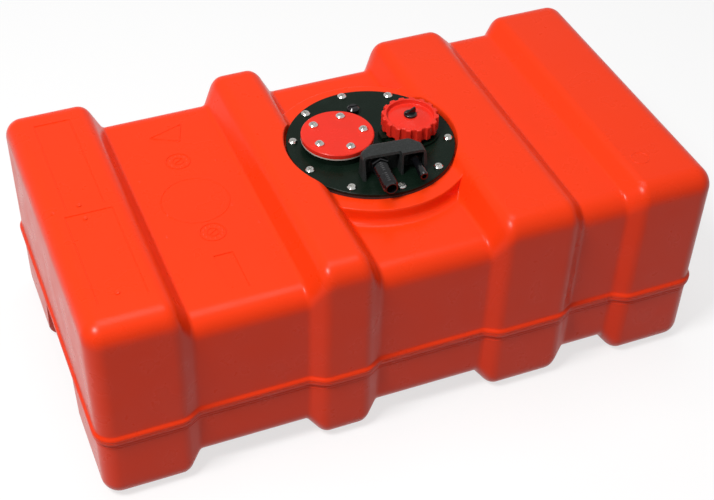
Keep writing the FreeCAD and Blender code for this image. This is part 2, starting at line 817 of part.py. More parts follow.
def sender_cover():
    x, y = plate_point("sender_x", "sender_y")
    body = new_body("sender_cover", x, y, f"{SENDER_SEAT} + sender_gasket_thick", plate_turn())
    profile = new_sketch(body, "sender_cover_profile", "XZ_Plane")
    outline(profile, [("0", "0"), ("sender_radius", "0"),
                      ("sender_radius", "sender_cover_thick - sender_bevel"),
                      ("sender_radius - sender_bevel", "sender_cover_thick"), ("0", "sender_cover_thick")])
    body.Tip = revolve(body, "sender_cover_disc", profile)
    holes = new_sketch(body, "sender_cover_holes_outline", "XY_Plane", ("0", "0", "sender_cover_thick"))
    circles_on_ring(holes, ("0", "0"), "sender_screw_circle", SCREW_HOLE, "sender_screw_turn",
                    count("sender_screw_count"))
    pocket(body, "sender_cover_holes", holes, "sender_cover_thick + overshoot")
    return body


# Filler cap

def filler_cap():
    x, y = plate_point("cap_x", "cap_y")
    body = new_body("filler_cap", x, y, PLATE_TOP, plate_turn())
    profile = new_sketch(body, "cap_profile", "XZ_Plane")
    top = "(cap_foot + cap_height)"
    dish = f"({top} - cap_dish_depth)"
    outline(profile, [(SKIRT_RADIUS, "cap_foot"), ("cap_radius", "cap_foot"),
                      ("cap_radius", f"{top} - cap_bevel"), ("cap_radius - cap_bevel", top),
                      ("cap_dish_radius", top), ("cap_dish_radius", dish),
                      ("cap_centre_radius", CAP_CENTRE), ("0", CAP_CENTRE),
                      ("0", CAP_CEILING), (SKIRT_RADIUS, CAP_CEILING)])
    body.Tip = revolve(body, "cap_turned", profile)

    thread = new_sketch(body, "cap_thread_profile", "XZ_Plane")
    crest = "(neck_radius + thread_gap)"
    outline(thread, [(f"{SKIRT_RADIUS} + thread_root", f"{CAP_THREAD} - thread_foot / 2"),
                     (f"{SKIRT_RADIUS} + thread_root", f"{CAP_THREAD} + thread_foot / 2"),
                     (crest, f"{CAP_THREAD} + thread_tip / 2"), (crest, f"{CAP_THREAD} - thread_tip / 2")])
    helix(body, "cap_thread", thread, "thread_rise")

    hole = new_sketch(body, "cap_vent_hole_outline", "XY_Plane", ("0", "0", CAP_CENTRE))
    circle(hole, "0", "0", "vent_radius + vent_gap")
    pocket(body, "cap_vent_hole", hole, f"{CENTRE_THICK} + overshoot")
    seat = new_sketch(body, "cap_vent_seat_outline", "XY_Plane", ("0", "0", CAP_CENTRE))
    circle(seat, "0", "0", "vent_seal_radius + seat_gap")
    pocket(body, "cap_vent_seat", seat, "vent_seal_thick")

    scallop = new_sketch(body, "cap_scallop_outline", "XY_Plane", ("0", "0", top))
    circle(scallop, "cap_radius + cap_grip_radius - cap_grip_depth", "0", "cap_grip_radius")
    first = pocket(body, "cap_scallop", scallop, "cap_height")
    spread(body, "cap_scallops", [first], "cap_grip_count")
    return body


def cap_gasket():
    x, y = plate_point("cap_x", "cap_y")
    body = new_body("cap_gasket", x, y, f"{PLATE_TOP} + {NECK_TOP} + seat_gap", plate_turn())
    sketch = new_sketch(body, "cap_gasket_outline", "XY_Plane")
    circle(sketch, "0", "0", "neck_radius")
    circle(sketch, "0", "0", "neck_bore")
    body.Tip = pad(body, "cap_gasket_ring", sketch, "cap_gasket_thick")
    return body


def vent_screw():
    x, y = plate_point("cap_x", "cap_y")
    level = f"{PLATE_TOP} + {CAP_CENTRE} + seat_gap"
    turn = Rotation(Vector(0, 0, 1), size("fittings_turn + vent_wing_turn"))
    body = new_body("vent_screw", x, y, level, turn)
    profile = new_sketch(body, "vent_profile", "XZ_Plane")
    tail = f"({CENTRE_THICK} + vent_tail)"
    outline(profile, [("0", f"0 - {tail}"), ("vent_radius - tip_chamfer", f"0 - {tail}"),
                      ("vent_radius", f"tip_chamfer - {tail}"), ("vent_radius", "0"),
                      ("vent_flange_radius", "0"),
                      ("vent_flange_radius", "vent_flange_height - vent_flange_bevel"),
                      ("vent_flange_radius - vent_flange_bevel", "vent_flange_height"),
                      ("0", "vent_flange_height")])
    body.Tip = revolve(body, "vent_turned", profile)
    wing = new_sketch(body, "vent_wing_outline", "XZ_Plane", ("0", "0", "0 - vent_wing_thick / 2"))
    half = "(vent_wing_length / 2)"
    base = "(vent_flange_height - vent_wing_root)"
    peak = "(vent_flange_height + vent_wing_height)"
    outline(wing, [(f"0 - {half}", base), (half, base), (half, f"{peak} - vent_wing_corner"),
                   (f"{half} - vent_wing_corner", peak),
                   (f"{half} - vent_wing_corner - vent_wing_crest", peak),
                   (f"0 - {half}", f"{base} + vent_wing_low_end")])
    grown(body, pad(body, "vent_wing", wing, "vent_wing_thick"))
    return body


def vent_seal():
    x, y = plate_point("cap_x", "cap_y")
    level = f"{PLATE_TOP} + {CAP_CENTRE} - vent_seal_thick"
    body = new_body("vent_seal", x, y, level, plate_turn())
    sketch = new_sketch(body, "vent_seal_outline", "XY_Plane")
    circle(sketch, "0", "0", "vent_seal_radius")
    circle(sketch, "0", "0", "vent_radius + vent_gap")
    body.Tip = pad(body, "vent_seal_ring", sketch, "vent_seal_thick")
    return body


# Fitting housing with its two hose fittings

def fitting_housing():
    """A drafted block with two bays open to the front and a passage behind each."""
    body = new_body("fitting_housing", "plate_x", "plate_y", PLATE_TOP, plate_turn())
    base = new_sketch(body, "housing_outline", "XY_Plane")
    outline(base, [("housing_left", "housing_front"), ("housing_right", "housing_front"),
                   ("housing_right", "housing_back - right_bevel_back"),
                   ("housing_right - right_bevel_along", "housing_back"),
                   ("housing_left + left_bevel_along", "housing_back"),
                   ("housing_left", "housing_back - left_bevel_back")])
    body.Tip = pad(body, "housing_block", base, "housing_height", draft="0 - housing_draft")

    for name, left, right in (("vent", "vent_bay_left", "vent_bay_right"),
                              ("fuel", "fuel_bay_left", "fuel_bay_right")):
        bay = new_sketch(body, name + "_bay_outline", "XZ_Plane", ("0", "0", "overshoot - housing_front"))
        outline(bay, [(left, "0 - overshoot"), (right, "0 - overshoot"), (right, "bay_height"),
                      (left, "bay_height")])
        pocket(body, name + "_bay", bay, "bay_depth + overshoot")

    for name, x, stub, bore in (("vent", "vent_x", "vent_stub_radius", "vent_passage_radius"),
                                ("fuel", "fuel_x", "fuel_stub_radius", "fuel_passage_radius")):
        seat = new_sketch(body, name + "_seat_outline", "XZ_Plane", ("0", "0", f"0 - {BAY_BACK}"))
        circle(seat, x, "fitting_level", stub)
        pocket(body, name + "_seat", seat, "passage_back")
        riser = new_sketch(body, name + "_riser_outline", "XY_Plane", ("0", "0", "fitting_level"))
        circle(riser, x, PASSAGE_Y, bore)
        pocket(body, name + "_riser", riser, "fitting_level + overshoot")
        groove = new_sketch(body, name + "_groove_outline", "XY_Plane", ("0", "0", "seal_thick"))
        circle(groove, x, PASSAGE_Y, f"{bore} + seal_land + seal_width")
        circle(groove, x, PASSAGE_Y, f"{bore} + seal_land")
        pocket(body, name + "_groove", groove, "seal_thick + overshoot")

    pilots = new_sketch(body, "housing_pilot_outline", "XY_Plane",
                        ("0", "0", "housing_screw_reach - plate_thick + pilot_relief"))
    for x, y in housing_screw_places():
        circle(pilots, x, y, "housing_screw_radius")
    pocket(body, "housing_pilots", pilots, "housing_screw_reach + overshoot")
    return body


def housing_seals():
    body = new_body("housing_seals", "plate_x", "plate_y", PLATE_TOP, plate_turn())
    sketch = new_sketch(body, "housing_seals_outline", "XY_Plane")
    for x, bore in (("vent_x", "vent_passage_radius"), ("fuel_x", "fuel_passage_radius")):
        circle(sketch, x, PASSAGE_Y, f"{bore} + seal_land + seal_width")
        circle(sketch, x, PASSAGE_Y, f"{bore} + seal_land")
    body.Tip = pad(body, "housing_seal_rings", sketch, "seal_thick")
    return body


def housing_screws():
    """Screws from inside the tank, up through the plate into the housing."""
    body = new_body("housing_screws", "plate_x", "plate_y", PLATE_BOTTOM, plate_turn())
    heads = new_sketch(body, "housing_heads_outline", "XY_Plane")
    shanks = new_sketch(body, "housing_shanks_outline", "XY_Plane", ("0", "0", "0 - housing_screw_cap"))
    for x, y in housing_screw_places():
        circle(heads, x, y, "housing_screw_head")
        circle(shanks, x, y, "housing_screw_radius")
    body.Tip = pad(body, "housing_screw_heads", heads, "housing_screw_cap", reverse=True)
    grown(body, pad(body, "housing_screw_shanks", shanks, "housing_screw_cap + housing_screw_reach"))
    return body


def outward():
    """Turns a body's own Z axis to point out of a bay, square to its back wall."""
    return plate_turn() * Rotation(Vector(1, 0, 0), 90)


def fitting_body(label, x):
    return new_body(label, *plate_point(x, BAY_BACK), f"{PLATE_TOP} + fitting_level", outward())


def washer(label, x, radius, bore):
    body = fitting_body(label, x)
    sketch = new_sketch(body, label + "_outline", "XY_Plane")
    circle(sketch, "0", "0", radius)
    circle(sketch, "0", "0", bore)
    body.Tip = pad(body, label + "_ring", sketch, "washer_thick")
    return body


def vent_barb():
    """A large ringed hose tail with a hexagon, its stub screwed into the housing."""
    body = fitting_body("vent_barb", "vent_x")
    hex_end = "(washer_thick + vent_hex_length)"
    corners = [("vent_bore_radius", "0 - vent_stub_length"), ("vent_stub_radius", "0 - vent_stub_length"),
               ("vent_stub_radius", hex_end), ("vent_core_radius", hex_end)]
    start = f"({hex_end} + vent_lead)"
    for group in range(2):
        for ring in range(count("vent_ring_count")):
            steps = group * count("vent_ring_count") + ring
            low = f"({start} + {steps} * vent_ring_pitch + {group} * vent_group_gap)"
            corners += [("vent_core_radius", low), ("vent_ring_radius", low),
                        ("vent_ring_radius", f"{low} + vent_ring_land"),
                        ("vent_core_radius", f"{low} + vent_ring_foot")]
    end = f"({start} + 2 * vent_ring_count * vent_ring_pitch + vent_group_gap + vent_lead)"
    corners += [("vent_core_radius", end), ("vent_bore_radius", end)]
    profile = new_sketch(body, "vent_barb_profile", "XZ_Plane")
    outline(profile, corners)
    body.Tip = revolve(body, "vent_barb_turned", profile)
    nut = new_sketch(body, "vent_hex_outline", "XY_Plane", ("0", "0", "washer_thick"))
    hexagon(nut, "vent_hex_flats")
    circle(nut, "0", "0", "vent_bore_radius")
    grown(body, pad(body, "vent_hex", nut, "vent_hex_length"))
    return body


def fuel_barb():
    """A small plain hose tail with one swelling at its end."""
    body = fitting_body("fuel_barb", "fuel_x")
    lead = "(fuel_barb_length - fuel_end_lead)"
    swell = f"({lead} - fuel_end_land)"
    profile = new_sketch(body, "fuel_barb_profile", "XZ_Plane")
    outline(profile, [("fuel_bore_radius", "0 - fuel_stub_length"),
                      ("fuel_core_radius", "0 - fuel_stub_length"), ("fuel_core_radius", swell),
                      ("fuel_end_radius", swell), ("fuel_end_radius", lead),
                      ("fuel_core_radius", "fuel_barb_length"), ("fuel_bore_radius", "fuel_barb_length")])
    body.Tip = revolve(body, "fuel_barb_turned", profile)
    return body


def fuel_barb_nut():
    body = fitting_body("fuel_barb_nut", "fuel_x")
    sketch = new_sketch(body, "fuel_nut_outline", "XY_Plane", ("0", "0", "washer_thick"))
    hexagon(sketch, "fuel_nut_flats")
    circle(sketch, "0", "0", "fuel_core_radius")
    body.Tip = pad(body, "fuel_nut", sketch, "fuel_nut_length")
    return body


# Pickup inside the tank

def pickup_tube():
    x, y = plate_point("fuel_x", PASSAGE_Y)
    low = "valley_base + shell_wall + strainer_clear + strainer_length - strainer_lap"
    body = new_body("pickup_tube", x, y, low, plate_turn())
    sketch = new_sketch(body, "pickup_tube_outline", "XY_Plane")
    circle(sketch, "0", "0", "pickup_radius")
    circle(sketch, "0", "0", "pickup_bore")
    body.Tip = pad(body, "pickup_tube_run", sketch, f"{PLATE_BOTTOM} - ({low})")
    return body


def pickup_strainer():
    x, y = plate_point("fuel_x", PASSAGE_Y)
    body = new_body("pickup_strainer", x, y, "valley_base + shell_wall + strainer_clear", plate_turn())
    profile = new_sketch(body, "strainer_profile", "XZ_Plane")
    inside = "strainer_radius - strainer_wall"
    outline(profile, [("0", "0"), ("strainer_radius", "0"), ("strainer_radius", "strainer_length"),
                      ("pickup_radius", "strainer_length"),
                      ("pickup_radius", "strainer_length - strainer_lap"),
                      (inside, "strainer_length - strainer_lap"), (inside, "strainer_wall"),
                      ("0", "strainer_wall")])
    body.Tip = revolve(body, "strainer_cup", profile)
    return body


# Return plug

def return_plug():
    x, y = plate_point("plug_x", "plug_y")
    body = new_body("return_plug", x, y, f"{PLATE_TOP} + plug_seal_thick", plate_turn())
    profile = new_sketch(body, "plug_profile", "XZ_Plane")
    tail = "(plug_seal_thick + plate_thick + plug_tail)"
    outline(profile, [("0", f"0 - {tail}"), ("plug_radius", f"0 - {tail}"), ("plug_radius", "0"),
                      ("plug_head_radius", "0"), ("plug_head_radius", "plug_head_height - plug_crown"),
                      ("plug_head_radius - plug_crown", "plug_head_height"), ("0", "plug_head_height")])
    body.Tip = revolve(body, "plug_turned", profile)
    slot = new_sketch(body, "plug_slot_outline", "XY_Plane", ("0", "0", "plug_head_height"))
    far, near = "(plug_head_radius + overshoot)", "(plug_slot_width / 2)"
    outline(slot, [(f"0 - {far}", f"0 - {near}"), (far, f"0 - {near}"), (far, near), (f"0 - {far}", near)])
    pocket(body, "plug_slot", slot, "plug_slot_depth")
    return body


def plug_seal():
    x, y = plate_point("plug_x", "plug_y")
    body = new_body("plug_seal", x, y, PLATE_TOP, plate_turn())
    sketch = new_sketch(body, "plug_seal_outline", "XY_Plane")
    circle(sketch, "0", "0", "plug_head_radius")
    circle(sketch, "0", "0", "plug_radius")
    body.Tip = pad(body, "plug_seal_ring", sketch, "plug_seal_thick")
    return body


def write_parts(parts):
    doc.recompute()
    for item in doc.Objects:
        if any(state in ("Invalid", "Error") for state in item.State):
            raise RuntimeError(f"{item.Label} did not recompute: {item.State}")
    for part in parts:
        if part.Shape.isNull() or not part.Shape.isValid():
            raise RuntimeError(f"{part.Label} has no valid shape")
    for part in parts:
        part.Shape.exportStep(os.path.join("parts", part.Label + ".step"))
        print(part.Label, len(part.Shape.Solids), round(part.Shape.Volume, 1))


parts = tank_shells()
parts += flange_fasteners()
parts += [flange_gasket(), flange_plate()]
parts += sender_fasteners()
parts += [sender_gasket(), sender_cover()]
parts += [filler_cap(), cap_gasket(), vent_screw(), vent_seal()]
parts += [fitting_housing(), housing_seals(), housing_screws()]
parts += [vent_barb(), washer("vent_barb_washer", "vent_x", "vent_washer_radius", "vent_stub_radius")]
parts += [fuel_barb(), fuel_barb_nut(),
          washer("fuel_barb_washer", "fuel_x", "fuel_washer_radius", "fuel_core_radius")]
parts += [pickup_tube(), pickup_strainer(), return_plug(), plug_seal()]
write_parts(parts)
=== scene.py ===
import bmesh
import bpy
import json
import math
import numpy as np
from mathutils import Matrix, Vector
from mathutils.geometry import delaunay_2d_cdt


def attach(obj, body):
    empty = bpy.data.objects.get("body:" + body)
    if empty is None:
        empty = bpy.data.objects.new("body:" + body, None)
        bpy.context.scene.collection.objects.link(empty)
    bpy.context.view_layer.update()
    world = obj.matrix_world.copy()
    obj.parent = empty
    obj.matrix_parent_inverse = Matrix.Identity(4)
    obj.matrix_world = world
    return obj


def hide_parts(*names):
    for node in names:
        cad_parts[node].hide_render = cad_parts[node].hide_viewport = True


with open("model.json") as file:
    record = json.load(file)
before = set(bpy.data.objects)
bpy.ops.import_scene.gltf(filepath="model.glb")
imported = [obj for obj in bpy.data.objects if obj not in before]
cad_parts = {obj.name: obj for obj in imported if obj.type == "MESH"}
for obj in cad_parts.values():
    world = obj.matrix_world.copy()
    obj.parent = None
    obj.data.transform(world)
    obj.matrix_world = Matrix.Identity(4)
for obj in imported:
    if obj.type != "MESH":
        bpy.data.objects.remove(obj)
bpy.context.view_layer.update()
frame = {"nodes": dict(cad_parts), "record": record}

MM = 0.001


# Camera: where the photograph was taken from, worked out from the tank's outline

AZIMUTH = math.radians(-22.395)
ELEVATION = math.radians(43.185)
ROLL = math.radians(1.211)
DISTANCE = 1.6034
LOOKS_AT = Vector((0.0025, 0.0443, 0.003))
PICTURE_WIDTH = 714
PICTURE_HEIGHT = 500
FOCAL_PIXELS = 1390.7
CENTRE_PIXEL = (336.05, 278.02)


def make_camera():
    """The camera's axes are a turn round Z, a lift above the horizon, then a roll."""
    data = bpy.data.cameras.new("camera")
    data.sensor_width = 36
    data.lens = data.sensor_width * FOCAL_PIXELS / PICTURE_WIDTH
    data.shift_x = (PICTURE_WIDTH / 2 - CENTRE_PIXEL[0]) / PICTURE_WIDTH
    data.shift_y = (CENTRE_PIXEL[1] - PICTURE_HEIGHT / 2) / PICTURE_WIDTH
    back = Vector((math.sin(AZIMUTH) * math.cos(ELEVATION),
                   -math.cos(AZIMUTH) * math.cos(ELEVATION),
                   math.sin(ELEVATION)))
    right = (-back).cross(Vector((0, 0, 1))).normalized()
    up = right.cross(-back)
    rolled_right = right * math.cos(ROLL) + up * math.sin(ROLL)
    rolled_up = up * math.cos(ROLL) - right * math.sin(ROLL)
    camera = bpy.data.objects.new("camera", data)
    turn = Matrix((rolled_right, rolled_up, back)).transposed().to_4x4()
    camera.matrix_world = Matrix.Translation(LOOKS_AT + back * DISTANCE) @ turn
    bpy.context.collection.objects.link(camera)
    bpy.context.scene.camera = camera


# Materials

class Wiring:
    """Short calls that add nodes to a node tree and join them."""

    def __init__(self, tree):
        self.tree = tree

    def add(self, kind, **inputs):
        node = self.tree.nodes.new(kind)
        for name, value in inputs.items():
            self.feed(node.inputs[name.replace("_", " ")], value)
        return node

    def feed(self, socket, value):
        if isinstance(value, bpy.types.NodeSocket):
            self.tree.links.new(value, socket)
        else:
            socket.default_value = value

    def maths(self, kind, *values):
        node = self.add("ShaderNodeMath")
        node.operation = kind
        for socket, value in zip(node.inputs, values):
            self.feed(socket, value)
        return node.outputs[0]

    def ramp(self, value, low, high, to_low, to_high):
        node = self.add("ShaderNodeMapRange", Value=value)
        limits = {"From Min": low, "From Max": high, "To Min": to_low, "To Max": to_high}
        for name, number in limits.items():
            node.inputs[name].default_value = number
        return node.outputs[0]


class Recipe(Wiring):
    """A material whose main shader's colour, gloss and relief are built up step by step."""

    def __init__(self, name, colour, roughness, metallic=0.0, specular=0.5):
        self.material = bpy.data.materials.new(name)
        self.material.use_nodes = True
        super().__init__(self.material.node_tree)
        self.shader = self.tree.nodes["Principled BSDF"]
        self.shader.inputs["Base Color"].default_value = (*colour, 1)
        self.shader.inputs["Roughness"].default_value = roughness
        self.shader.inputs["Metallic"].default_value = metallic
        self.shader.inputs["Specular IOR Level"].default_value = specular
        self.colour = colour
        self.roughness = roughness
        self.place = self.add("ShaderNodeTexCoord").outputs["Object"]
        self.height = None

    def noise(self, scale, detail=2.0, stretch=(1, 1, 1), rough=0.5):
        """Cloudy values about one half, in pieces about 1 / scale metres wide."""
        shape = self.add("ShaderNodeMapping", Vector=self.place, Scale=stretch)
        return self.add("ShaderNodeTexNoise", Vector=shape.outputs[0], Scale=scale,
                        Detail=detail, Roughness=rough).outputs["Fac"]

    def tint(self, value, other):
        """The base colour goes towards another one where value nears 1."""
        mix = self.add("ShaderNodeMix")
        mix.data_type = "RGBA"
        self.feed(mix.inputs["Factor"], value)
        base = self.shader.inputs["Base Color"]
        if base.is_linked:
            self.feed(mix.inputs["A"], base.links[0].from_socket)
        else:
            mix.inputs["A"].default_value = (*self.colour, 1)
        mix.inputs["B"].default_value = (*other, 1)
        self.feed(base, mix.outputs["Result"])

    def vary_roughness(self, value, spread):
        low, high = self.roughness - spread, self.roughness + spread
        self.feed(self.shader.inputs["Roughness"], self.ramp(value, 0.3, 0.7, low, high))

    def relief(self, value, depth):
        """Adds value times depth, in metres, to the height that the surface shows."""
        step = self.maths("MULTIPLY", value, depth)
        self.height = step if self.height is None else self.maths("ADD", self.height, step)

    def finish(self):
        if self.height is not None:
            bump = self.add("ShaderNodeBump", Height=self.height)
            bump.inputs["Distance"].default_value = 1.0
            self.feed(self.shader.inputs["Normal"], bump.outputs[0])
        return self.material


def shell_plastic():
    """Satin moulded polyethylene: faint flow clouds and a very fine skin."""
    recipe = Recipe("red_shell", (0.88, 0.042, 0.004), 0.30, specular=0.2)
    recipe.tint(recipe.ramp(recipe.noise(6, 3), 0.35, 0.75, 0, 0.3), (0.82, 0.036, 0.007))
    recipe.vary_roughness(recipe.noise(30, 4), 0.05)
    recipe.relief(recipe.noise(60, 2, stretch=(0.3, 4, 1)), 0.00002)
    recipe.relief(recipe.noise(700, 2), 0.000006)
    return recipe.finish()


def trim_plastic():
    recipe = Recipe("red_trim", (0.78, 0.030, 0.016), 0.24, specular=0.22)
    recipe.tint(recipe.ramp(recipe.noise(40, 2), 0.4, 0.8, 0, 0.3), (0.60, 0.03, 0.015))
    recipe.vary_roughness(recipe.noise(120, 3), 0.05)
    recipe.relief(recipe.noise(1500, 2), 0.00002)
    return recipe.finish()


def plate_plastic():
    recipe = Recipe("black_plastic", (0.004, 0.010, 0.006), 0.27, specular=0.12)
    recipe.tint(recipe.ramp(recipe.noise(60, 3), 0.5, 0.9, 0, 0.5), (0.012, 0.022, 0.016))
    recipe.vary_roughness(recipe.noise(150, 3), 0.07)
    recipe.relief(recipe.noise(1200, 2), 0.00003)
    return recipe.finish()


def grained_plastic():
    recipe = Recipe("grained_plastic", (0.014, 0.016, 0.015), 0.42, specular=0.25)
    recipe.tint(recipe.ramp(recipe.noise(900, 2), 0.45, 0.75, 0, 0.8), (0.045, 0.047, 0.050))
    recipe.vary_roughness(recipe.noise(700, 2), 0.08)
    recipe.relief(recipe.noise(1400, 3), 0.00012)
    return recipe.finish()


def glossy_plastic():
    recipe = Recipe("glossy_black", (0.004, 0.004, 0.005), 0.14, specular=0.6)
    recipe.vary_roughness(recipe.noise(200, 3), 0.04)
    recipe.relief(recipe.noise(600, 2), 0.00002)
    return recipe.finish()


def seal_rubber():
    recipe = Recipe("seal_rubber", (0.018, 0.018, 0.018), 0.6)
    recipe.tint(recipe.ramp(recipe.noise(300, 2), 0.5, 0.8, 0, 0.6), (0.04, 0.04, 0.04))
    recipe.relief(recipe.noise(1800, 2), 0.00005)
    return recipe.finish()


def pale_rubber():
    recipe = Recipe("pale_gasket", (0.55, 0.50, 0.44), 0.55)
    recipe.tint(recipe.ramp(recipe.noise(200, 2), 0.4, 0.8, 0, 0.5), (0.42, 0.37, 0.32))
    return recipe.finish()


def stainless():
    recipe = Recipe("stainless", (0.80, 0.79, 0.76), 0.17, metallic=1.0)
    recipe.vary_roughness(recipe.noise(900, 2), 0.06)
    recipe.relief(recipe.noise(2500, 2), 0.00002)
    return recipe.finish()


def brass():
    recipe = Recipe("brass", (0.70, 0.48, 0.20), 0.3, metallic=1.0)
    recipe.vary_roughness(recipe.noise(900, 2), 0.08)
    return recipe.finish()


def tube_plastic():
    recipe = Recipe("tube_plastic", (0.50, 0.50, 0.47), 0.4)
    recipe.tint(recipe.ramp(recipe.noise(80, 2), 0.4, 0.8, 0, 0.5), (0.42, 0.42, 0.38))
    return recipe.finish()


MAKERS = {
    "red_shell": shell_plastic,
    "red_trim": trim_plastic,
    "black_plastic": plate_plastic,
    "grained_plastic": grained_plastic,
    "glossy_black": glossy_plastic,
    "seal_rubber": seal_rubber,
    "pale_gasket": pale_rubber,
    "stainless": stainless,
    "brass": brass,
    "tube_plastic": tube_plastic,
}
materials = {name: make() for name, make in MAKERS.items()}


def dress_cad_nodes():
    """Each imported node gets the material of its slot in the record."""
    for sub in frame["record"]["subparts"]:
        node = frame["nodes"][sub["node"]]
        node.data.materials.clear()
        node.data.materials.append(materials[sub["material_slot"]])


# Curves, and surfaces that every new piece is gathered in

def bent_line(corners, radii, steps=8):
    """A line through corners, with an arc in place of each inner one.

    An arc of radius r leaves its corner by r times the tangent of half the turn,
    on both sides. Its points are even steps of angle between the two spokes.
    """
    corners = np.asarray(corners, float)
    points = [corners[:1]]
    for before, corner, after, radius in zip(corners[:-2], corners[1:-1], corners[2:], radii):
        back = (before - corner) / np.linalg.norm(before - corner)
        ahead = (after - corner) / np.linalg.norm(after - corner)
        turn = math.pi - math.acos(float(np.clip(back @ ahead, -1, 1)))
        reach = radius * math.tan(turn / 2)
        inward = (back + ahead) / np.linalg.norm(back + ahead)
        middle = corner + inward * radius / math.cos(turn / 2)
        start = (corner + back * reach - middle) / radius
        stop = (corner + ahead * reach - middle) / radius
        share = np.linspace(0, 1, steps + 1)[:, None]
        spokes = np.sin((1 - share) * turn) * start + np.sin(share * turn) * stop
        points.append(middle + radius * spokes / math.sin(turn))
    points.append(corners[-1:])
    return np.concatenate(points)


def full_turn(steps):
    """Even steps of angle round a circle."""
    return np.arange(steps) * 2 * math.pi / steps


def turned(radius, height, turn, x, y):
    """A profile of radii and heights turned round the upright axis through x and y."""
    radius = np.broadcast_to(radius, (len(turn), len(height)))
    return np.stack([x + radius * np.cos(turn)[:, None], y + radius * np.sin(turn)[:, None],
                     np.broadcast_to(height, radius.shape)], axis=-1)


def weave(number, wrap_rows=False, wrap_columns=False, flip=False):
    """Four-sided faces between the neighbours of a table of point numbers."""
    rows, columns = number.shape
    row = np.arange(rows if wrap_rows else rows - 1)[:, None]
    column = np.arange(columns if wrap_columns else columns - 1)[None, :]
    below, right = (row + 1) % rows, (column + 1) % columns
    faces = np.stack([number[row, column], number[below, column],
                      number[below, right], number[row, right]], axis=-1).reshape(-1, 4)
    return faces[:, ::-1] if flip else faces


class Surface:
    """Points in millimetres and the faces between them, gathered group by group."""

    def __init__(self):
        self.groups = []
        self.faces = []
        self.count = 0

    def add(self, points):
        """Takes in an array of points and returns their numbers in the same layout."""
        points = np.asarray(points, float)
        number = self.count + np.arange(points[..., 0].size).reshape(points.shape[:-1])
        self.groups.append(points.reshape(-1, 3))
        self.count += number.size
        return number

    def face(self, faces):
        """Takes in one face, or rows of faces with as many corners each."""
        self.faces.append(np.atleast_2d(faces))

    def points(self):
        return np.concatenate(self.groups)


def in_tank(points):
    return points


def in_plate(points):
    """Points in the flange plate's own axes, heights above its top, to the tank's axes."""
    turn = math.radians(PLATE_TURN)
    x, y, z = np.moveaxis(points, -1, 0)
    return np.stack([PLATE_X + x * math.cos(turn) - y * math.sin(turn),
                     PLATE_Y + x * math.sin(turn) + y * math.cos(turn), PLATE_TOP + z], axis=-1)


MERGE_GAP = 1e-7


def make_piece(name, surface, slot, body="tank", replaces=(), sharp=40, axes=in_tank):
    """A mesh piece: unused points dropped, doubles merged, every face turned outwards."""
    used = np.unique(np.concatenate([faces.ravel() for faces in surface.faces]))
    number = np.full(surface.count, -1)
    number[used] = np.arange(len(used))
    corners = [face for faces in surface.faces for face in number[faces].tolist()]
    mesh = bpy.data.meshes.new(name)
    mesh.from_pydata((axes(surface.points()[used]) * MM).tolist(), [], corners)
    whole = bmesh.new()
    whole.from_mesh(mesh)
    bmesh.ops.remove_doubles(whole, verts=whole.verts, dist=MERGE_GAP)
    bmesh.ops.recalc_face_normals(whole, faces=whole.faces)
    whole.to_mesh(mesh)
    whole.free()
    mesh.shade_smooth()
    mesh.set_sharp_from_angle(angle=math.radians(sharp))
    mesh.materials.append(materials[slot])
    piece = bpy.data.objects.new(name, mesh)
    bpy.context.collection.objects.link(piece)
    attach(piece, body)
    if replaces:
        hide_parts(*replaces)


# Upper shell

TANK_HALF = 325
SIDE_HALF = 175
CROWN = 230
SEAM = 85.5
SKIRT_TOP = 95
CORNER = 21
END_ROUND = 18
END_LIMIT = TANK_HALF - END_ROUND
WALL = 5
VALLEY = 27.5
LAST_VALLEY = 13.7
VALLEY_SIDE = 9.1
HALF_FLANK = 7.5
PLATE_X, PLATE_Y, PLATE_TOP, PLATE_TURN = 21.9, 6.1, 224.5, -4.5
PAD_TOP = 218.5
PAD_RADIUS, PAD_SLOPE, PAD_ROUNDS = 104.2, 1.2, [1.3, 7.5]
PAD_LIMIT = 125
RECESS_RADIUS, RECESS_SLOPE, RECESS_ROUNDS = 88.5, 0.9, [1.0, 2.6]
PORT = 65
FAR_RADIUS = 130

# Inside, from where to where the pad's edge falls and the recess wall rises
INNER_PAD_EDGE = (98, 101)
INNER_RECESS_WALL = (94, 96)

# Middle of each flank, which side the valley is on, and the valley's depth
FLANKS = [(-232, 1, VALLEY), (-102.5, -1, VALLEY), (-43.5, 1, VALLEY),
          (87.5, -1, VALLEY), (172.5, 1, LAST_VALLEY), (237, -1, LAST_VALLEY)]

# Sunk panels on the first rib and the first valley: left, right, front, back, depth
PANELS = [(-297.5, -260, 0, 142, 0.8), (-301.5, -254.5, -138, -9.5, 0.8),
          (-177.2, -157.6, -134.2, -82.2, 1.0)]
PANEL_EDGE = 0.3

# The shares of a straight stretch where its points end, and where top and floor have one more
LAST_COLUMN, BESIDE_EDGE = 0.97, 0.992
SOFT_REACH, LEAST_REACH = 24, 0.001


def flank_line(depths, crest, foot):
    """How far the surface lies inside the ribs, as a bent line over the tank's length."""
    corners, radii = [(-TANK_HALF, 0)], []
    for (middle, side, _), depth in zip(FLANKS, depths):
        low, high = (0, depth) if side > 0 else (depth, 0)
        corners += [(middle - HALF_FLANK, low), (middle + HALF_FLANK, high)]
        radii += [crest, foot] if side > 0 else [foot, crest]
    corners.append((TANK_HALF, 0))
    return bent_line(corners, radii, 10)


TOP_LINE = flank_line([depth for _, _, depth in FLANKS], 16, 6)
SIDE_LINE = flank_line([VALLEY_SIDE] * len(FLANKS), 20, 12)


def top_drop(x):
    return np.interp(x, TOP_LINE[:, 0], TOP_LINE[:, 1])


def side_drop(x):
    return np.interp(x, SIDE_LINE[:, 0], SIDE_LINE[:, 1])


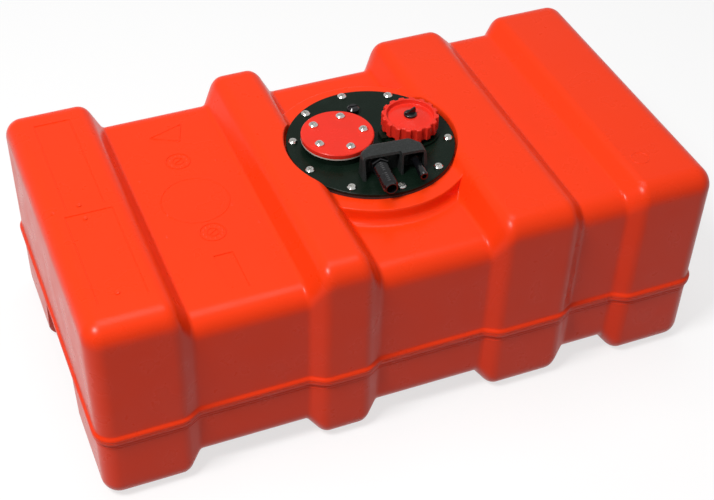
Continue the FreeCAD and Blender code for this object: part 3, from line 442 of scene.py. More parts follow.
def with_edges(line, pairs):
    """The line's marks, with each panel's two edges and their narrow slopes among them."""
    low, high = np.array(pairs).T
    edges = np.concatenate([low, low + PANEL_EDGE, high - PANEL_EDGE, high])
    clear = np.abs(line[:, None] - edges[None, :]).min(axis=1) > 0.5
    clear[[0, 1, -2, -1]] = True
    return np.sort(np.concatenate([line[clear], edges]))


def across_top():
    """Shares of the half width from one side of the top to the other."""
    half = SIDE_HALF - CORNER
    pairs = [(front, back) for _, _, front, back, _ in PANELS[:2]]
    wider = half / (half - VALLEY_SIDE)
    _, _, front, back, _ = PANELS[2]
    columns = np.linspace(-LAST_COLUMN, LAST_COLUMN, 65) * half
    return with_edges(columns, pairs + [(front * wider, back * wider)]) / half


INNER_ACROSS = np.linspace(-LAST_COLUMN, LAST_COLUMN, 33)
SKIRT_ACROSS = np.linspace(-LAST_COLUMN, LAST_COLUMN, 9)
END_TURNS = 10


def with_end_rounds(line):
    """Each place along the tank with an angle, which is 0 but on the end rounds.

    There the place is the round's middle plus its radius times the sine of the angle.
    """
    turn = np.linspace(0, math.pi / 2, END_TURNS + 1)[1:]
    x = np.concatenate([np.full(END_TURNS, line[0]), line, np.full(END_TURNS, line[-1])])
    return x, np.concatenate([-turn[::-1], np.zeros(len(line)), turn])


def shell_stations():
    """Places along the tank's length, close together on its arcs."""
    least, most, beside, twin, near_end = 0.8, 5, 0.9, 0.2, END_LIMIT - 2
    arcs = TOP_LINE[1:-1, 0]
    ends = [-END_LIMIT + 1, END_LIMIT - 1, -END_LIMIT, END_LIMIT]
    marks = np.sort(np.concatenate([arcs, SIDE_LINE[1:-1, 0], arcs + beside, arcs - beside, ends]))
    kept = [marks[0]]
    for mark in marks[1:]:
        gap = mark - kept[-1]
        if gap < least and mark < near_end:
            continue
        extra = int(gap // most)
        kept += [kept[-1] + gap * step / (extra + 1) for step in range(1, extra + 1)] + [mark]
    kept = np.array(kept)
    kept = kept[np.concatenate([[True], np.diff(kept) > twin])]
    return with_end_rounds(with_edges(kept, [(left, right) for left, right, _, _, _ in PANELS]))


def from_plate(x, y):
    return np.hypot(x - PLATE_X, y - PLATE_Y)


def pad_height(r):
    floor = CROWN - VALLEY
    line = bent_line([(0, PAD_TOP), (PAD_RADIUS, PAD_TOP), (PAD_RADIUS + PAD_SLOPE, floor),
                      (FAR_RADIUS, floor)], PAD_ROUNDS)
    return np.interp(r, line[:, 0], line[:, 1])


def recess_height(r):
    line = bent_line([(0, PAD_TOP), (RECESS_RADIUS, PAD_TOP), (RECESS_RADIUS + RECESS_SLOPE, CROWN),
                      (FAR_RADIUS, CROWN)], RECESS_ROUNDS)
    return np.interp(r, line[:, 0], line[:, 1])


def sunk(x, y):
    """The depth of the panels, reached over a narrow slope inside their edges."""
    depths = []
    for left, right, front, back, depth in PANELS:
        inside = np.minimum.reduce([x - left, right - x, y - front, back - y])
        depths.append(depth * np.clip(inside / PANEL_EDGE, 0, 1))
    return np.sum(depths, axis=0)


def top_height(x, y):
    """Height of the top: ribs and valleys, the round pad over them, the recess cut into both.

    The pad meets a flank in a soft line: the two heights' smooth maximum, whose reach
    is widest half way up the flank and next to nothing on the floor and on the crest.
    """
    r = from_plate(x, y)
    ribs = CROWN - top_drop(x)
    pad = np.where(r > PAD_LIMIT, 0, pad_height(r))
    share = np.clip((CROWN - ribs) / VALLEY, 0, 1)
    reach = SOFT_REACH * share * (1 - share) + LEAST_REACH
    mix = np.clip(0.5 + 0.5 * (ribs - pad) / reach, 0, 1)
    height = pad * (1 - mix) + ribs * mix + reach * mix * (1 - mix)
    return np.minimum(height, recess_height(r)) - sunk(x, y)


def inner_height(x, y):
    """The same top from inside: a wall lower, with the pad narrower and the recess wider."""
    r = from_plate(x, y)
    ribs = CROWN - WALL - top_drop(x)
    pad = np.interp(r, INNER_PAD_EDGE, [PAD_TOP - WALL, 0])
    recess = np.interp(r, INNER_RECESS_WALL, [PAD_TOP - WALL, CROWN])
    return np.minimum(np.maximum(ribs, pad), recess)


def rings_at(along, side, arc, flat):
    """Rings of points, one a station: a side, a corner and the flat stretch, then both mirrored."""
    y = np.concatenate([side[0], arc[0], flat[0], -arc[0][:, ::-1], -side[0][:, ::-1]], axis=1)
    z = np.concatenate([side[1], arc[1], flat[1], arc[1][:, ::-1], side[1][:, ::-1]], axis=1)
    return np.stack([np.repeat(along[:, None], y.shape[1], 1), y, z], axis=-1)


def shell_sheet(wall, height, across):
    """Points of one face of the upper shell, set in by wall, and its first column on the top.

    Each station has a ring from the front skirt over the top to the back skirt: a
    straight side, a quarter circle, the top, a quarter circle, a straight side. On
    an end round the ring is also set in by the radius times one less the cosine.
    """
    x, angle = shell_stations()
    radius = END_ROUND - wall
    along = x + radius * np.sin(angle)
    inset = wall + radius * (1 - np.cos(angle))
    half = SIDE_HALF - side_drop(x) - inset
    crown = CROWN - top_drop(x) - inset
    corner = CORNER - inset

    bend = np.linspace(0, math.pi / 2, 10)
    rise = np.linspace(0, LAST_COLUMN, 7)
    across = np.concatenate([[-BESIDE_EDGE], across, [BESIDE_EDGE]])
    flat = half - corner
    side_top = crown - corner
    side_y = np.repeat(-half[:, None], len(rise), 1)
    side_z = SKIRT_TOP + (side_top - SKIRT_TOP)[:, None] * rise
    arc_y = -(flat[:, None] + corner[:, None] * np.cos(bend))
    arc_z = side_top[:, None] + corner[:, None] * np.sin(bend)
    top_y = flat[:, None] * across
    top_x = np.repeat(along[:, None], len(across), 1)
    top_z = height(top_x, top_y) - (inset - wall)[:, None]
    rings = rings_at(along, (side_y, side_z), (arc_y, arc_z), (top_y, top_z))
    return rings, len(rise) + len(bend)


# Rings about the plate's middle, close together at the recess wall and the pad's edge
POLAR_RADII = np.concatenate([
    [PORT, 72, 79, 85], np.linspace(87, 93, 17), [94, 95.5, 97, 98.5, 100, 101.5],
    np.linspace(102.6, 106, 12), np.linspace(106.6, 113.4, 12), [114.5, 116, 118]])
POLAR_STEPS = 320
ZONE_RADIUS = POLAR_RADII[-1]
ZONE_GAP = 1.2
CLOSE = 1e-6


def polar_points(height):
    turn = full_turn(POLAR_STEPS)[:, None]
    x = PLATE_X + np.cos(turn) * POLAR_RADII
    y = PLATE_Y + np.sin(turn) * POLAR_RADII
    return np.stack([x, y, height(x, y)], axis=-1)


def outside_zone(points):
    return from_plate(points[..., 0], points[..., 1]) > ZONE_RADIUS + ZONE_GAP


def whole_cells(points):
    """True for each cell of a grid whose four corners lie outside the round zone."""
    away = outside_zone(points)
    return away[:-1, :-1] & away[1:, :-1] & away[1:, 1:] & away[:-1, 1:]


def ragged_edge(points, kept):
    """The corners at the edge of the kept cells, and the pairs of them that an edge joins.

    An edge lies between two neighbouring cells of which just one is kept.
    """
    gone = ~kept
    touched = np.any([np.pad(gone, ((a, 1 - a), (b, 1 - b))) for a in (0, 1) for b in (0, 1)], axis=0)
    corners = touched & outside_zone(points)
    place = np.full(corners.shape, -1)
    place[corners] = np.arange(corners.sum())
    upright = np.argwhere(kept[:, 1:] != kept[:, :-1]) + (0, 1)
    level = np.argwhere(kept[1:] != kept[:-1]) + (1, 0)
    pairs = [np.stack([place[tuple(start.T)], place[tuple((start + step).T)]], axis=1)
             for start, step in ((upright, (1, 0)), (level, (0, 1)))]
    return corners, np.concatenate(pairs)


def in_gone_cell(points, kept, middle):
    """True for each place in a cell that isn't kept.

    The cell's row is found from X, and its column from Y over the half width there.
    """
    row_x = points[:, 0, 0]
    row = np.clip(np.searchsorted(row_x, middle[:, 0]) - 1, 0, len(kept) - 1)
    share = middle[:, 1] / np.interp(middle[:, 0], row_x, points[:, -1, 1])
    halfway = points[len(points) // 2, :, 1]
    column = np.clip(np.searchsorted(halfway / halfway[-1], share) - 1, 0, kept.shape[1] - 1)
    return ~kept[row, column]


def zone_triangles(points, number, kept, rim, rim_number):
    """Triangles between the ragged edge of the top's kept cells and the outermost polar ring.

    A triangle counts if its middle lies outside that ring and in a cell that isn't kept.
    """
    corners, pairs = ragged_edge(points, kept)
    ring = corners.sum() + np.arange(POLAR_STEPS)
    edges = np.concatenate([np.stack([ring, np.roll(ring, -1)], axis=1), pairs])
    flat = np.concatenate([points[corners][:, :2], rim[:, :2]])
    source = np.concatenate([number[corners], rim_number])
    found = delaunay_2d_cdt([Vector(place) for place in flat.tolist()],
                            [tuple(edge) for edge in edges.tolist()], [], 0, CLOSE)
    triangles = np.array(found[2])
    origin = np.array([min(sources) for sources in found[3]])
    middle = np.array([tuple(place) for place in found[0]])[triangles].mean(axis=1)
    beyond = from_plate(*middle.T) > ZONE_RADIUS * math.cos(math.pi / POLAR_STEPS) - CLOSE
    return source[origin[triangles[beyond & in_gone_cell(points, kept, middle)]]]


END_STEPS = 14


def end_cap(ring):
    """Copies of an end ring that shrink towards the middle of its foot."""
    middle = np.array([ring[0, 0], 0, SKIRT_TOP])
    share = np.linspace(1, 0, END_STEPS + 1)[1:, None, None]
    return middle + (ring - middle) * share


def plan_loop(number, left, right):
    """Numbers of the points round the skirt's top, front first, anticlockwise from above."""
    right_end = np.concatenate([right[:, 0], right[-2::-1, -1]])
    left_end = np.concatenate([left[:, -1], left[-2::-1, 0]])
    return np.concatenate([number[:, 0], right_end, number[::-1, -1], left_end])


def round_the_edge(loop, profile):
    """Copies of a loop, each moved outwards and set to a height by one point of a profile.

    A point's outward direction is a quarter turn from the line between its neighbours.
    """
    along = np.roll(loop, -1, axis=0) - np.roll(loop, 1, axis=0)
    out = np.stack([along[:, 1], -along[:, 0], np.zeros(len(loop))], axis=-1)
    out /= np.linalg.norm(out, axis=1, keepdims=True)
    copies = loop[:, None, :] + out[:, None, :] * profile[:, :1]
    copies[:, :, 2] = profile[:, 1]
    return copies


def shell_side(surface, wall, height, across, flip):
    """One face of the upper shell: its rings, the round zone and both ends.

    Returns the numbers of its plan loop and of its port's rim.
    """
    rings, first_top = shell_sheet(wall, height, across)
    number = surface.add(rings)
    top = slice(first_top, -first_top)
    kept = whole_cells(rings[:, top])
    cells = np.ones(np.subtract(number.shape, 1), bool)
    cells[:, top] = kept
    surface.face(weave(number, flip=flip)[cells.ravel()])

    polar_rings = polar_points(height)
    polar = surface.add(polar_rings)
    surface.face(weave(polar, wrap_rows=True, flip=not flip))
    between = zone_triangles(rings[:, top], number[:, top], kept, polar_rings[:, -1], polar[:, -1])
    surface.face(between[:, ::-1] if flip else between)

    left = surface.add(end_cap(rings[0]))
    right = surface.add(end_cap(rings[-1]))
    surface.face(weave(np.concatenate([number[:1], left]), flip=not flip))
    surface.face(weave(np.concatenate([number[-1:], right]), flip=flip))
    return plan_loop(number, left, right), polar[:, 0]


# The weld bead's profile, outwards and up, from the skirt's top to the seam
BEAD = np.array([(0, 92.6), (0.25, 92.0), (1.3, 91.2), (2.2, 90.2), (2.7, 89.2), (2.8, 88.4),
                 (2.8, 87.7), (2.3, 87.3), (2.75, 86.9), (2.75, 86.0), (2.5, SEAM)])


def upper_shell():
    """An outer and an inner face, joined round the skirt by the bead and round the port."""
    surface = Surface()
    outer, outer_rim = shell_side(surface, 0, top_height, across_top(), False)
    inner, inner_rim = shell_side(surface, WALL, inner_height, INNER_ACROSS, True)
    points = surface.points()
    bead = surface.add(round_the_edge(points[outer], BEAD))
    inner_foot = surface.add(points[inner] * (1, 1, 0) + (0, 0, SEAM))
    surface.face(weave(np.column_stack([outer, bead, inner_foot, inner]), wrap_rows=True, flip=True))
    surface.face(weave(np.column_stack([outer_rim, inner_rim]), wrap_rows=True))
    return surface


# Fine lines under the seam

LINE_LEVELS = (81.8, 78.9, 76.0)
LINE_SECTION = np.array([(-0.3, 0.75), (0.0, 0.7), (0.28, 0.3), (0.28, -0.3), (0.0, -0.7), (-0.3, -0.75)])
LEAST_STEP = 0.3


def skirt_lines():
    """Low ridges round the lower shell, along the outline that both shells share."""
    surface = Surface()
    rings, _ = shell_sheet(0, top_height, SKIRT_ACROSS)
    number = surface.add(rings)
    left, right = surface.add(end_cap(rings[0])), surface.add(end_cap(rings[-1]))
    loop = surface.points()[plan_loop(number, left, right)]
    steps = np.linalg.norm(np.diff(loop[:, :2], axis=0), axis=1)
    loop = loop[np.concatenate([[True], steps > LEAST_STEP])]
    for level in LINE_LEVELS:
        ridge = surface.add(round_the_edge(loop, LINE_SECTION + (0, level)))
        surface.face(weave(ridge, wrap_rows=True, wrap_columns=True, flip=True))
    return surface


# Lower shell

FLOOR_RISE = 17.7
LOWER_TOP = 82.8
HOLD_HEAD, HOLD_FOOT, HOLD_HEIGHT, HOLD_DEPTH = 56, 70, 68, 42
BELOW_GROUND = -1

# How far out the hand recess's slanted side has columns, from its head to its foot
HOLD_COLUMNS = np.array([HOLD_HEAD, 59, HOLD_HEAD + WALL, 63, 66, HOLD_FOOT, HOLD_FOOT + WALL])
BASE_LINE = flank_line([FLOOR_RISE] * len(FLANKS), 14, 6)

# The lip's profile, outwards and up, from the side to the seam
LIP = np.array([(1.9, 83.1), (2.5, 83.8), (2.6, 84.6), (2.5, SEAM)])


def lower_stations():
    """Places along the tank as on the upper shell, with both walls of each hand recess."""
    step, twin, beside_wall = 0.05, 0.35, 0.5
    marks = np.concatenate([BASE_LINE[1:-1, 0], SIDE_LINE[1:-1, 0], np.linspace(-END_LIMIT, END_LIMIT, 110)])
    marks = np.unique(np.round(marks, 1))
    marks = marks[np.concatenate([[True], np.diff(marks) > twin])]
    walls = TANK_HALF - HOLD_DEPTH + np.array([-WALL, step - WALL, 0, step])
    walls = np.concatenate([-walls, walls])
    marks = marks[np.abs(marks[:, None] - walls[None, :]).min(axis=1) > beside_wall]
    return with_end_rounds(np.sort(np.concatenate([marks, walls])))


def hold_rise(x, y, wall):
    """Height of a hand recess over the ground: a slanted wall on each side, a flat roof."""
    rise = np.interp(np.abs(y), [HOLD_HEAD + wall, HOLD_FOOT + wall], [HOLD_HEIGHT + wall, BELOW_GROUND])
    return np.where(np.abs(x) > TANK_HALF - HOLD_DEPTH - wall + 0.02, rise, BELOW_GROUND)


def lower_sheet(wall, top):
    """Rings as on the upper shell, from the front side under the floor to the back side."""
    x, angle = lower_stations()
    radius = END_ROUND - wall
    along = x + radius * np.sin(angle)
    inset = wall + radius * (1 - np.cos(angle))
    corner = CORNER - inset
    flat = SIDE_HALF - side_drop(x) - inset - corner
    base = np.interp(x, BASE_LINE[:, 0], BASE_LINE[:, 1]) + inset

    fall = np.linspace(0, 1, 12)[:-1]
    bend = np.linspace(0, math.pi / 2, 12)
    side_y = np.repeat(-(flat + corner)[:, None], len(fall), 1)
    side_z = top + (base + corner - top)[:, None] * fall
    arc_y = -(flat[:, None] + corner[:, None] * np.cos(bend))
    arc_z = (base + corner)[:, None] - corner[:, None] * np.sin(bend)
    walls = HOLD_COLUMNS / (SIDE_HALF - CORNER)
    even = np.linspace(-LAST_COLUMN, LAST_COLUMN, 35)
    across = np.unique(np.round(np.concatenate([even, -walls, walls]), 5))
    across = np.concatenate([[-BESIDE_EDGE], across, [BESIDE_EDGE]])
    base_y = flat[:, None] * across
    base_x = np.repeat(along[:, None], len(across), 1)
    base_z = np.maximum(base[:, None], hold_rise(base_x, base_y, wall))
    return rings_at(along, (side_y, side_z), (arc_y, arc_z), (base_y, base_z))


def lower_shell():
    """An outer and an inner sheet with flat ends, joined round the top by a lip."""
    surface = Surface()
    loops = []
    for wall, top, flip in ((0, LOWER_TOP, False), (WALL, SEAM, True)):
        number = surface.add(lower_sheet(wall, top))
        surface.face(weave(number, flip=flip))
        surface.face(number[-1 if flip else 0])
        surface.face(number[0 if flip else -1, ::-1])
        loops.append(np.concatenate([number[:, 0], number[::-1, -1]]))
    outer, inner = loops
    lip = surface.add(round_the_edge(surface.points()[outer], LIP))
    surface.face(weave(np.column_stack([outer, lip, inner]), wrap_rows=True))
    return surface


# Raised marks that the mould leaves on the upper shell

RIB_TOP = CROWN
FLOOR_TOP = CROWN - VALLEY
TRIANGLE = [(-183.1, 116.3), (-145.6, 129.0), (-155.2, 101.0)]
LARGE_RING = (-168.5, 3, 34.5)
LAST_RIB_RING = (263.8, -122.6, 9)
DIALS = [(-166.5, 69.0, 12.5), (-166.7, -48.9, 12.8)]
FLOOR_SPOTS = [(-213, 50), (-201, -9), (-211, -40), (-129.5, 57), (-136.5, -16), (-119.5, -50)]
RIB_SPOTS = [(-284, 4), (-310, 0.5), (-283, -17), (-281, -127)]

# Width and height of each raised line, and radius and height of each bump
TRIANGLE_LINE, LARGE_LINE, RIB_LINE = (1.3, 0.6), (1.1, 0.4), (0.9, 0.3)
DIAL_LINE, INNER_DIAL_LINE = (1.0, 0.5), (0.9, 0.45)
FLOOR_BUMP, RIB_BUMP, MONTH_BUMP = (2.2, 0.5), (2.4, 0.5), (1.2, 0.8)
BURIED = 0.4
MONTHS = 12


def raised_line(surface, path, width, height, closed=True):
    """A thin raised line along a level path: its section is a low trapezoid.

    Each point's side direction is a quarter turn from the line between its
    neighbours, so the section's corners are path points moved along it.
    """
    path = np.asarray(path, float)
    if closed:
        along = np.roll(path, -1, axis=0) - np.roll(path, 1, axis=0)
    else:
        along = np.gradient(path, axis=0)
    side = np.stack([along[:, 1], -along[:, 0], np.zeros(len(path))], axis=-1)
    side /= np.linalg.norm(side, axis=1, keepdims=True)
    section = np.array([(-0.5, -BURIED), (-0.5, 0.0), (-0.22, height),
                        (0.22, height), (0.5, 0.0), (0.5, -BURIED)])
    points = path[:, None, :] - side[:, None, :] * section[:, :1] * width
    points[:, :, 2] += section[:, 1]
    ridge = surface.add(points)
    surface.face(weave(ridge, wrap_rows=closed, wrap_columns=True))
    if not closed:
        surface.face(ridge[0, ::-1])
        surface.face(ridge[-1])


def ring_path(x, y, z, radius, steps):
    return turned(np.array([radius]), np.array([z]), full_turn(steps), x, y)[:, 0]


def straight_sided(corners, z, pitch=4.0):
    """A closed path through corners, with a point about every pitch of length."""
    corners = np.asarray(corners, float)
    points = []
    for a, b in zip(corners, np.roll(corners, -1, axis=0)):
        count = max(2, int(np.linalg.norm(b - a) // pitch))
        points.append(a + (b - a) * np.linspace(0, 1, count, endpoint=False)[:, None])
    flat = np.concatenate(points)
    return np.column_stack([flat, np.full(len(flat), z)])


def small_dome(surface, x, y, z, radius, height, steps=16):
    """Rings of a low round bump: height times the cosine of the way out, squared."""
    way = np.linspace(0.08, 1, 5)
    bump = z + height * np.cos(way * math.pi / 2) ** 2 - 0.02
    number = surface.add(turned(radius * way, bump, full_turn(steps), x, y))
    surface.face(weave(number, wrap_rows=True))
    surface.face(number[:, 0])
    surface.face(number[::-1, -1])


def date_dial(surface, x, y, z, radius):
    """A round dial: two rings, a bump for each of twelve months and a pointer."""
    raised_line(surface, ring_path(x, y, z, radius, 48), *DIAL_LINE)
    raised_line(surface, ring_path(x, y, z, radius * 0.45, 32), *INNER_DIAL_LINE)
    reach = 0.74 * radius
    for turn in full_turn(MONTHS):
        small_dome(surface, x + reach * math.cos(turn), y + reach * math.sin(turn), z, *MONTH_BUMP, 10)
    pointer = [(x + share * radius, y + share * radius * 2 / 3, z) for share in (-0.3, 0, 0.3)]
    raised_line(surface, pointer, *DIAL_LINE, closed=False)


def mould_marks():
    """A triangle, two rings, two dials and small round bumps on the ribs and the valley floor."""
    surface = Surface()
    raised_line(surface, straight_sided(TRIANGLE, FLOOR_TOP), *TRIANGLE_LINE)
    x, y, radius = LARGE_RING
    raised_line(surface, ring_path(x, y, FLOOR_TOP, radius, 120), *LARGE_LINE)
    x, y, radius = LAST_RIB_RING
    raised_line(surface, ring_path(x, y, RIB_TOP, radius, 48), *RIB_LINE)
    for x, y, radius in DIALS:
        date_dial(surface, x, y, FLOOR_TOP, radius)
    for x, y in FLOOR_SPOTS:
        small_dome(surface, x, y, FLOOR_TOP, *FLOOR_BUMP)
    for x, y in RIB_SPOTS:
        small_dome(surface, x, y, RIB_TOP, *RIB_BUMP)
    return surface


# Filler cap

CAP_X, CAP_Y = 43.6, 4.3
CAP_RADIUS = 29.6
CAP_BORE = 26.3
CAP_FOOT = 6.5
CAP_TOP = 22
CAP_UNDER = 14.1
CAP_HOLE = 4.6
DISH_RADIUS, DISH_FOOT, DISH_DEPTH = 24.6, 23.9, 4.9
HUB_RADIUS, HUB_DROP = 9.4, 1.6
CAP_GRIPS = 16
CAP_GRIP_DEPTH = 2.3
STEPS_A_GRIP = 24

# From where outwards the gaps between the grips begin, and over how much they reach their depth
GAP_START, GAP_RUN = 26.2, 2.0


def grip_share(turn):
    """1 on a grip and 0 in the gap beside it: a steep S-curve of the cosine of 16 times the angle."""
    wave = np.cos(CAP_GRIPS * turn)
    share = np.clip((wave + 0.42) / 0.74, 0, 1)
    return share * share * (3 - 2 * share)


def filler_cap():
    """A profile turned round the cap's axis, whose side follows the grips.

    Side points lie at the radius less the gap's depth times one less the grip share.
    """
    turn = full_turn(CAP_GRIPS * STEPS_A_GRIP)
    side = bent_line([(CAP_BORE, CAP_FOOT), (CAP_RADIUS, CAP_FOOT), (CAP_RADIUS, CAP_TOP),
                      (DISH_RADIUS, CAP_TOP), (DISH_FOOT, CAP_TOP - DISH_DEPTH),
                      (HUB_RADIUS, CAP_TOP - HUB_DROP), (CAP_HOLE, CAP_TOP - HUB_DROP + 0.05)],
                     [0.7, 1.3, 0.5, 0.9, 1.5], 6)
    tall = np.linspace(CAP_FOOT + 1.4, CAP_TOP - 2.0, 8)
    foot = side[side[:, 1] < CAP_FOOT + 1.2]
    rest = side[len(foot):]
    under = [(CAP_HOLE, CAP_TOP - 2.6), (CAP_BORE, CAP_UNDER)]
    profile = np.concatenate([foot, np.column_stack([np.full(len(tall), CAP_RADIUS), tall]), rest, under])
    gap = np.clip((profile[:, 0] - GAP_START) / GAP_RUN, 0, 1)
    gap[-1] = 0
    radius = profile[:, 0] - CAP_GRIP_DEPTH * (1 - grip_share(turn))[:, None] * gap
    surface = Surface()
    number = surface.add(turned(radius, profile[:, 1], turn, CAP_X, CAP_Y))
    surface.face(weave(number, wrap_rows=True, wrap_columns=True))
    return surface


# Vent screw

VENT_SEAT = CAP_TOP - 1.45
VENT_FLANGE = 6.7
VENT_FLANGE_HEIGHT = 2.3
VENT_SHANK = 2.4
WING_TURN = 8
WING_HALF_LENGTH = 6.4
WING_HALF_THICK = 1.55
WING_LOW, WING_RISE = 2.0, 4.9

# Shares of the wing's length: where it is highest, where its end rounds over, the first end's round
WING_PEAK, WING_FALL, WING_START = 0.86, 0.80, 0.05
LEAST_EDGE = 0.02


def vent_flange(surface):
    """A turned profile: a plain shank below, a washer face and a domed top."""
    profile = bent_line([(1.2, -10), (VENT_SHANK, -10), (VENT_SHANK, 0.0), (VENT_FLANGE, 0.0),
                         (VENT_FLANGE, VENT_FLANGE_HEIGHT), (3.4, 2.75), (0.05, 2.8)],
                        [0.3, 0.2, 0.4, 0.8, 2.0], 5)
    number = surface.add(turned(profile[:, 0], VENT_SEAT + profile[:, 1], full_turn(64), CAP_X, CAP_Y))
    surface.face(weave(number, wrap_rows=True, wrap_columns=True))


def vent_wing(surface):
    """A leaf-shaped wing: it rises along its length to a rounded peak, and thins upwards.

    The top edge rises from the low height with the share of the way to the peak, and
    both its ends are rounded. A section follows a half turn: its height goes with the
    sine of the angle and its half width with the cosine, each to a power below one.
    """
    turn = math.radians(WING_TURN)
    along = -WING_HALF_LENGTH * np.cos(np.linspace(0, math.pi, 56))
    way = (along + WING_HALF_LENGTH) / (2 * WING_HALF_LENGTH)
    edge = WING_LOW + WING_RISE * np.clip(way / WING_PEAK, 0, 1) ** 0.9
    edge = edge * np.sqrt(np.clip(1 - np.clip((way - WING_FALL) / 0.2, 0, 1) ** 2.6, 0, 1))
    edge = np.maximum(edge * np.clip(way / WING_START, 0.0, 1) ** 0.5, LEAST_EDGE)
    around = np.linspace(0, math.pi, 25)
    rise = np.sin(around) ** 0.75
    half = WING_HALF_THICK * np.sqrt(np.clip(1 - (np.abs(way - 0.5) * 2) ** 4, 0.02, 1))
    thin = 1 - 0.45 * rise
    across = half[:, None] * np.sign(np.cos(around)) * np.abs(np.cos(around)) ** 0.55 * thin
    z = VENT_SEAT + VENT_FLANGE_HEIGHT + edge[:, None] * rise
    x = CAP_X + along[:, None] * math.cos(turn) - across * math.sin(turn)
    y = CAP_Y + along[:, None] * math.sin(turn) + across * math.cos(turn)
    number = surface.add(np.stack([x, y, z], axis=-1))
    surface.face(weave(number, wrap_columns=True, flip=True))
    surface.face(number[0, ::-1])
    surface.face(number[-1])


def vent_screw():
    surface = Surface()
    vent_flange(surface)
    vent_wing(surface)
    return surface


# Vent barb

VENT_X = -8.7
FITTING_LEVEL = 11
BAY_BACK = -49
BARB_BORE, BARB_STUB, BARB_CORE, BARB_RING = 5, 6.5, 6.2, 8
STUB_LENGTH = 5
FIRST_RING, RING_PITCH, RING_COUNT, GROUP_GAP = 10.0, 2.9, 10, 2.4
BARB_END = 43.9
END_BEVEL = 0.2
NUT_NEAR, NUT_FAR, NUT_BEVEL = 1.5, 7.5, 0.7
NUT_WIDTH = 17
NUT_CORNER = NUT_WIDTH / math.cos(math.pi / 6) / 2
NUT_HOLE = 6.2

# One ring's profile: radius, and how far along the tube from the ring's start
RING_SHAPE = [(BARB_CORE, 0), (BARB_RING - 0.15, 0.05), (BARB_RING, 0.3), (BARB_RING - 0.1, 0.75),
              (BARB_CORE, 2.3)]


def barb_tube(surface):
    """A profile turned round the barb's axis, with two groups of five sharp rings.

    Each ring rises at once to its full radius and falls back in a straight slope.
    """
    corners = [(BARB_BORE, -STUB_LENGTH), (BARB_STUB, -STUB_LENGTH),
               (BARB_STUB, NUT_FAR), (BARB_CORE, NUT_FAR)]
    for ring in range(RING_COUNT):
        low = FIRST_RING + ring * RING_PITCH + (GROUP_GAP if ring >= RING_COUNT // 2 else 0)
        corners += [(radius, low + along) for radius, along in RING_SHAPE]
    corners += [(BARB_CORE, BARB_END - END_BEVEL), (BARB_CORE - 0.3, BARB_END),
                (BARB_BORE + END_BEVEL, BARB_END), (BARB_BORE, BARB_END - END_BEVEL)]
    radius, reach = np.array(corners).T
    upright = turned(radius, reach, full_turn(96), 0, 0)
    number = surface.add(along_barb(upright))
    surface.face(weave(number, wrap_rows=True, wrap_columns=True))


def barb_nut(surface):
    """A hexagon carried along the barb's axis, drawn in at both bevels and at its hole."""
    hole = NUT_HOLE / NUT_CORNER
    profile = [(hole, NUT_NEAR), (0.9, NUT_NEAR), (1.0, NUT_NEAR + NUT_BEVEL),
               (1.0, NUT_FAR - NUT_BEVEL), (0.9, NUT_FAR), (hole, NUT_FAR)]
    share, reach = np.array(profile).T
    upright = turned(NUT_CORNER * share, reach, full_turn(6) + math.pi / 6, 0, 0)
    number = surface.add(along_barb(upright))
    surface.face(weave(number, wrap_rows=True, wrap_columns=True))


def along_barb(upright):
    """Points about an upright axis, laid over so that the axis runs out of the vent bay."""
    across, rise, reach = np.moveaxis(upright, -1, 0)
    return np.stack([VENT_X + across, BAY_BACK - reach, FITTING_LEVEL + rise], axis=-1)


def vent_barb():
    surface = Surface()
    barb_tube(surface)
    barb_nut(surface)
    return surface


# Fitting housing

HOUSING_LEFT, HOUSING_RIGHT, HOUSING_FRONT, HOUSING_BACK = -28, 40, -62, -33
HOUSING_HEIGHT = 25
HOUSING_EDGE = 5.0
HOUSING_DRAFT = math.tan(math.radians(3))
BAYS = [(-24.5, 12), (14.5, 36)]
BAY_TOP = 22.3
BAY_ROUND = 2.2

# How far each back corner is cut off along the back and along the side, and the plan's rounds
LEFT_CUT, RIGHT_CUT = (14, 10.5), (11, 12)
PLAN_ROUNDS = [10, 12, 9, 8]

# Where the front steps back, and how far each side of it leans back for each step up
STEP_X = 12.9
LEFT_LEAN, RIGHT_LEAN = 0.28, 0.12


def housing_outline():
    """The housing's plan from its front left corner round the back to the front right one."""
    return bent_line([(HOUSING_LEFT, HOUSING_FRONT), (HOUSING_LEFT, HOUSING_BACK - LEFT_CUT[1]),
                      (HOUSING_LEFT + LEFT_CUT[0], HOUSING_BACK),
                      (HOUSING_RIGHT - RIGHT_CUT[0], HOUSING_BACK),
                      (HOUSING_RIGHT, HOUSING_BACK - RIGHT_CUT[1]), (HOUSING_RIGHT, HOUSING_FRONT)],
                     PLAN_ROUNDS, 8)


def housing_walls():
    """Walls that lean in by the draft and round over into the top.

    Up a wall each point is set in by the draft times its height, and on the rounded edge
    also by the edge's radius times one less the cosine of the angle.
    """
    plan = housing_outline()
    along = np.gradient(plan, axis=0)
    inward = np.stack([along[:, 1], -along[:, 0]], axis=-1)
    inward /= np.linalg.norm(inward, axis=1, keepdims=True)
    inward[0], inward[-1] = (1, 0), (-1, 0)
    bend = np.linspace(0, math.pi / 2, 8)
    wall = np.linspace(0, HOUSING_HEIGHT - HOUSING_EDGE, 6)[:-1]
    height = np.concatenate([wall, HOUSING_HEIGHT - HOUSING_EDGE + HOUSING_EDGE * np.sin(bend)])
    inset = height * HOUSING_DRAFT + np.concatenate([np.zeros(len(wall)), HOUSING_EDGE * (1 - np.cos(bend))])
    flat = plan[:, None, :] + inward[:, None, :] * inset[:, None]
    flat[0, :, 1] = HOUSING_FRONT + height * LEFT_LEAN
    flat[-1, :, 1] = HOUSING_FRONT + height * RIGHT_LEAN
    return np.dstack([flat, np.broadcast_to(height, flat.shape[:2])])


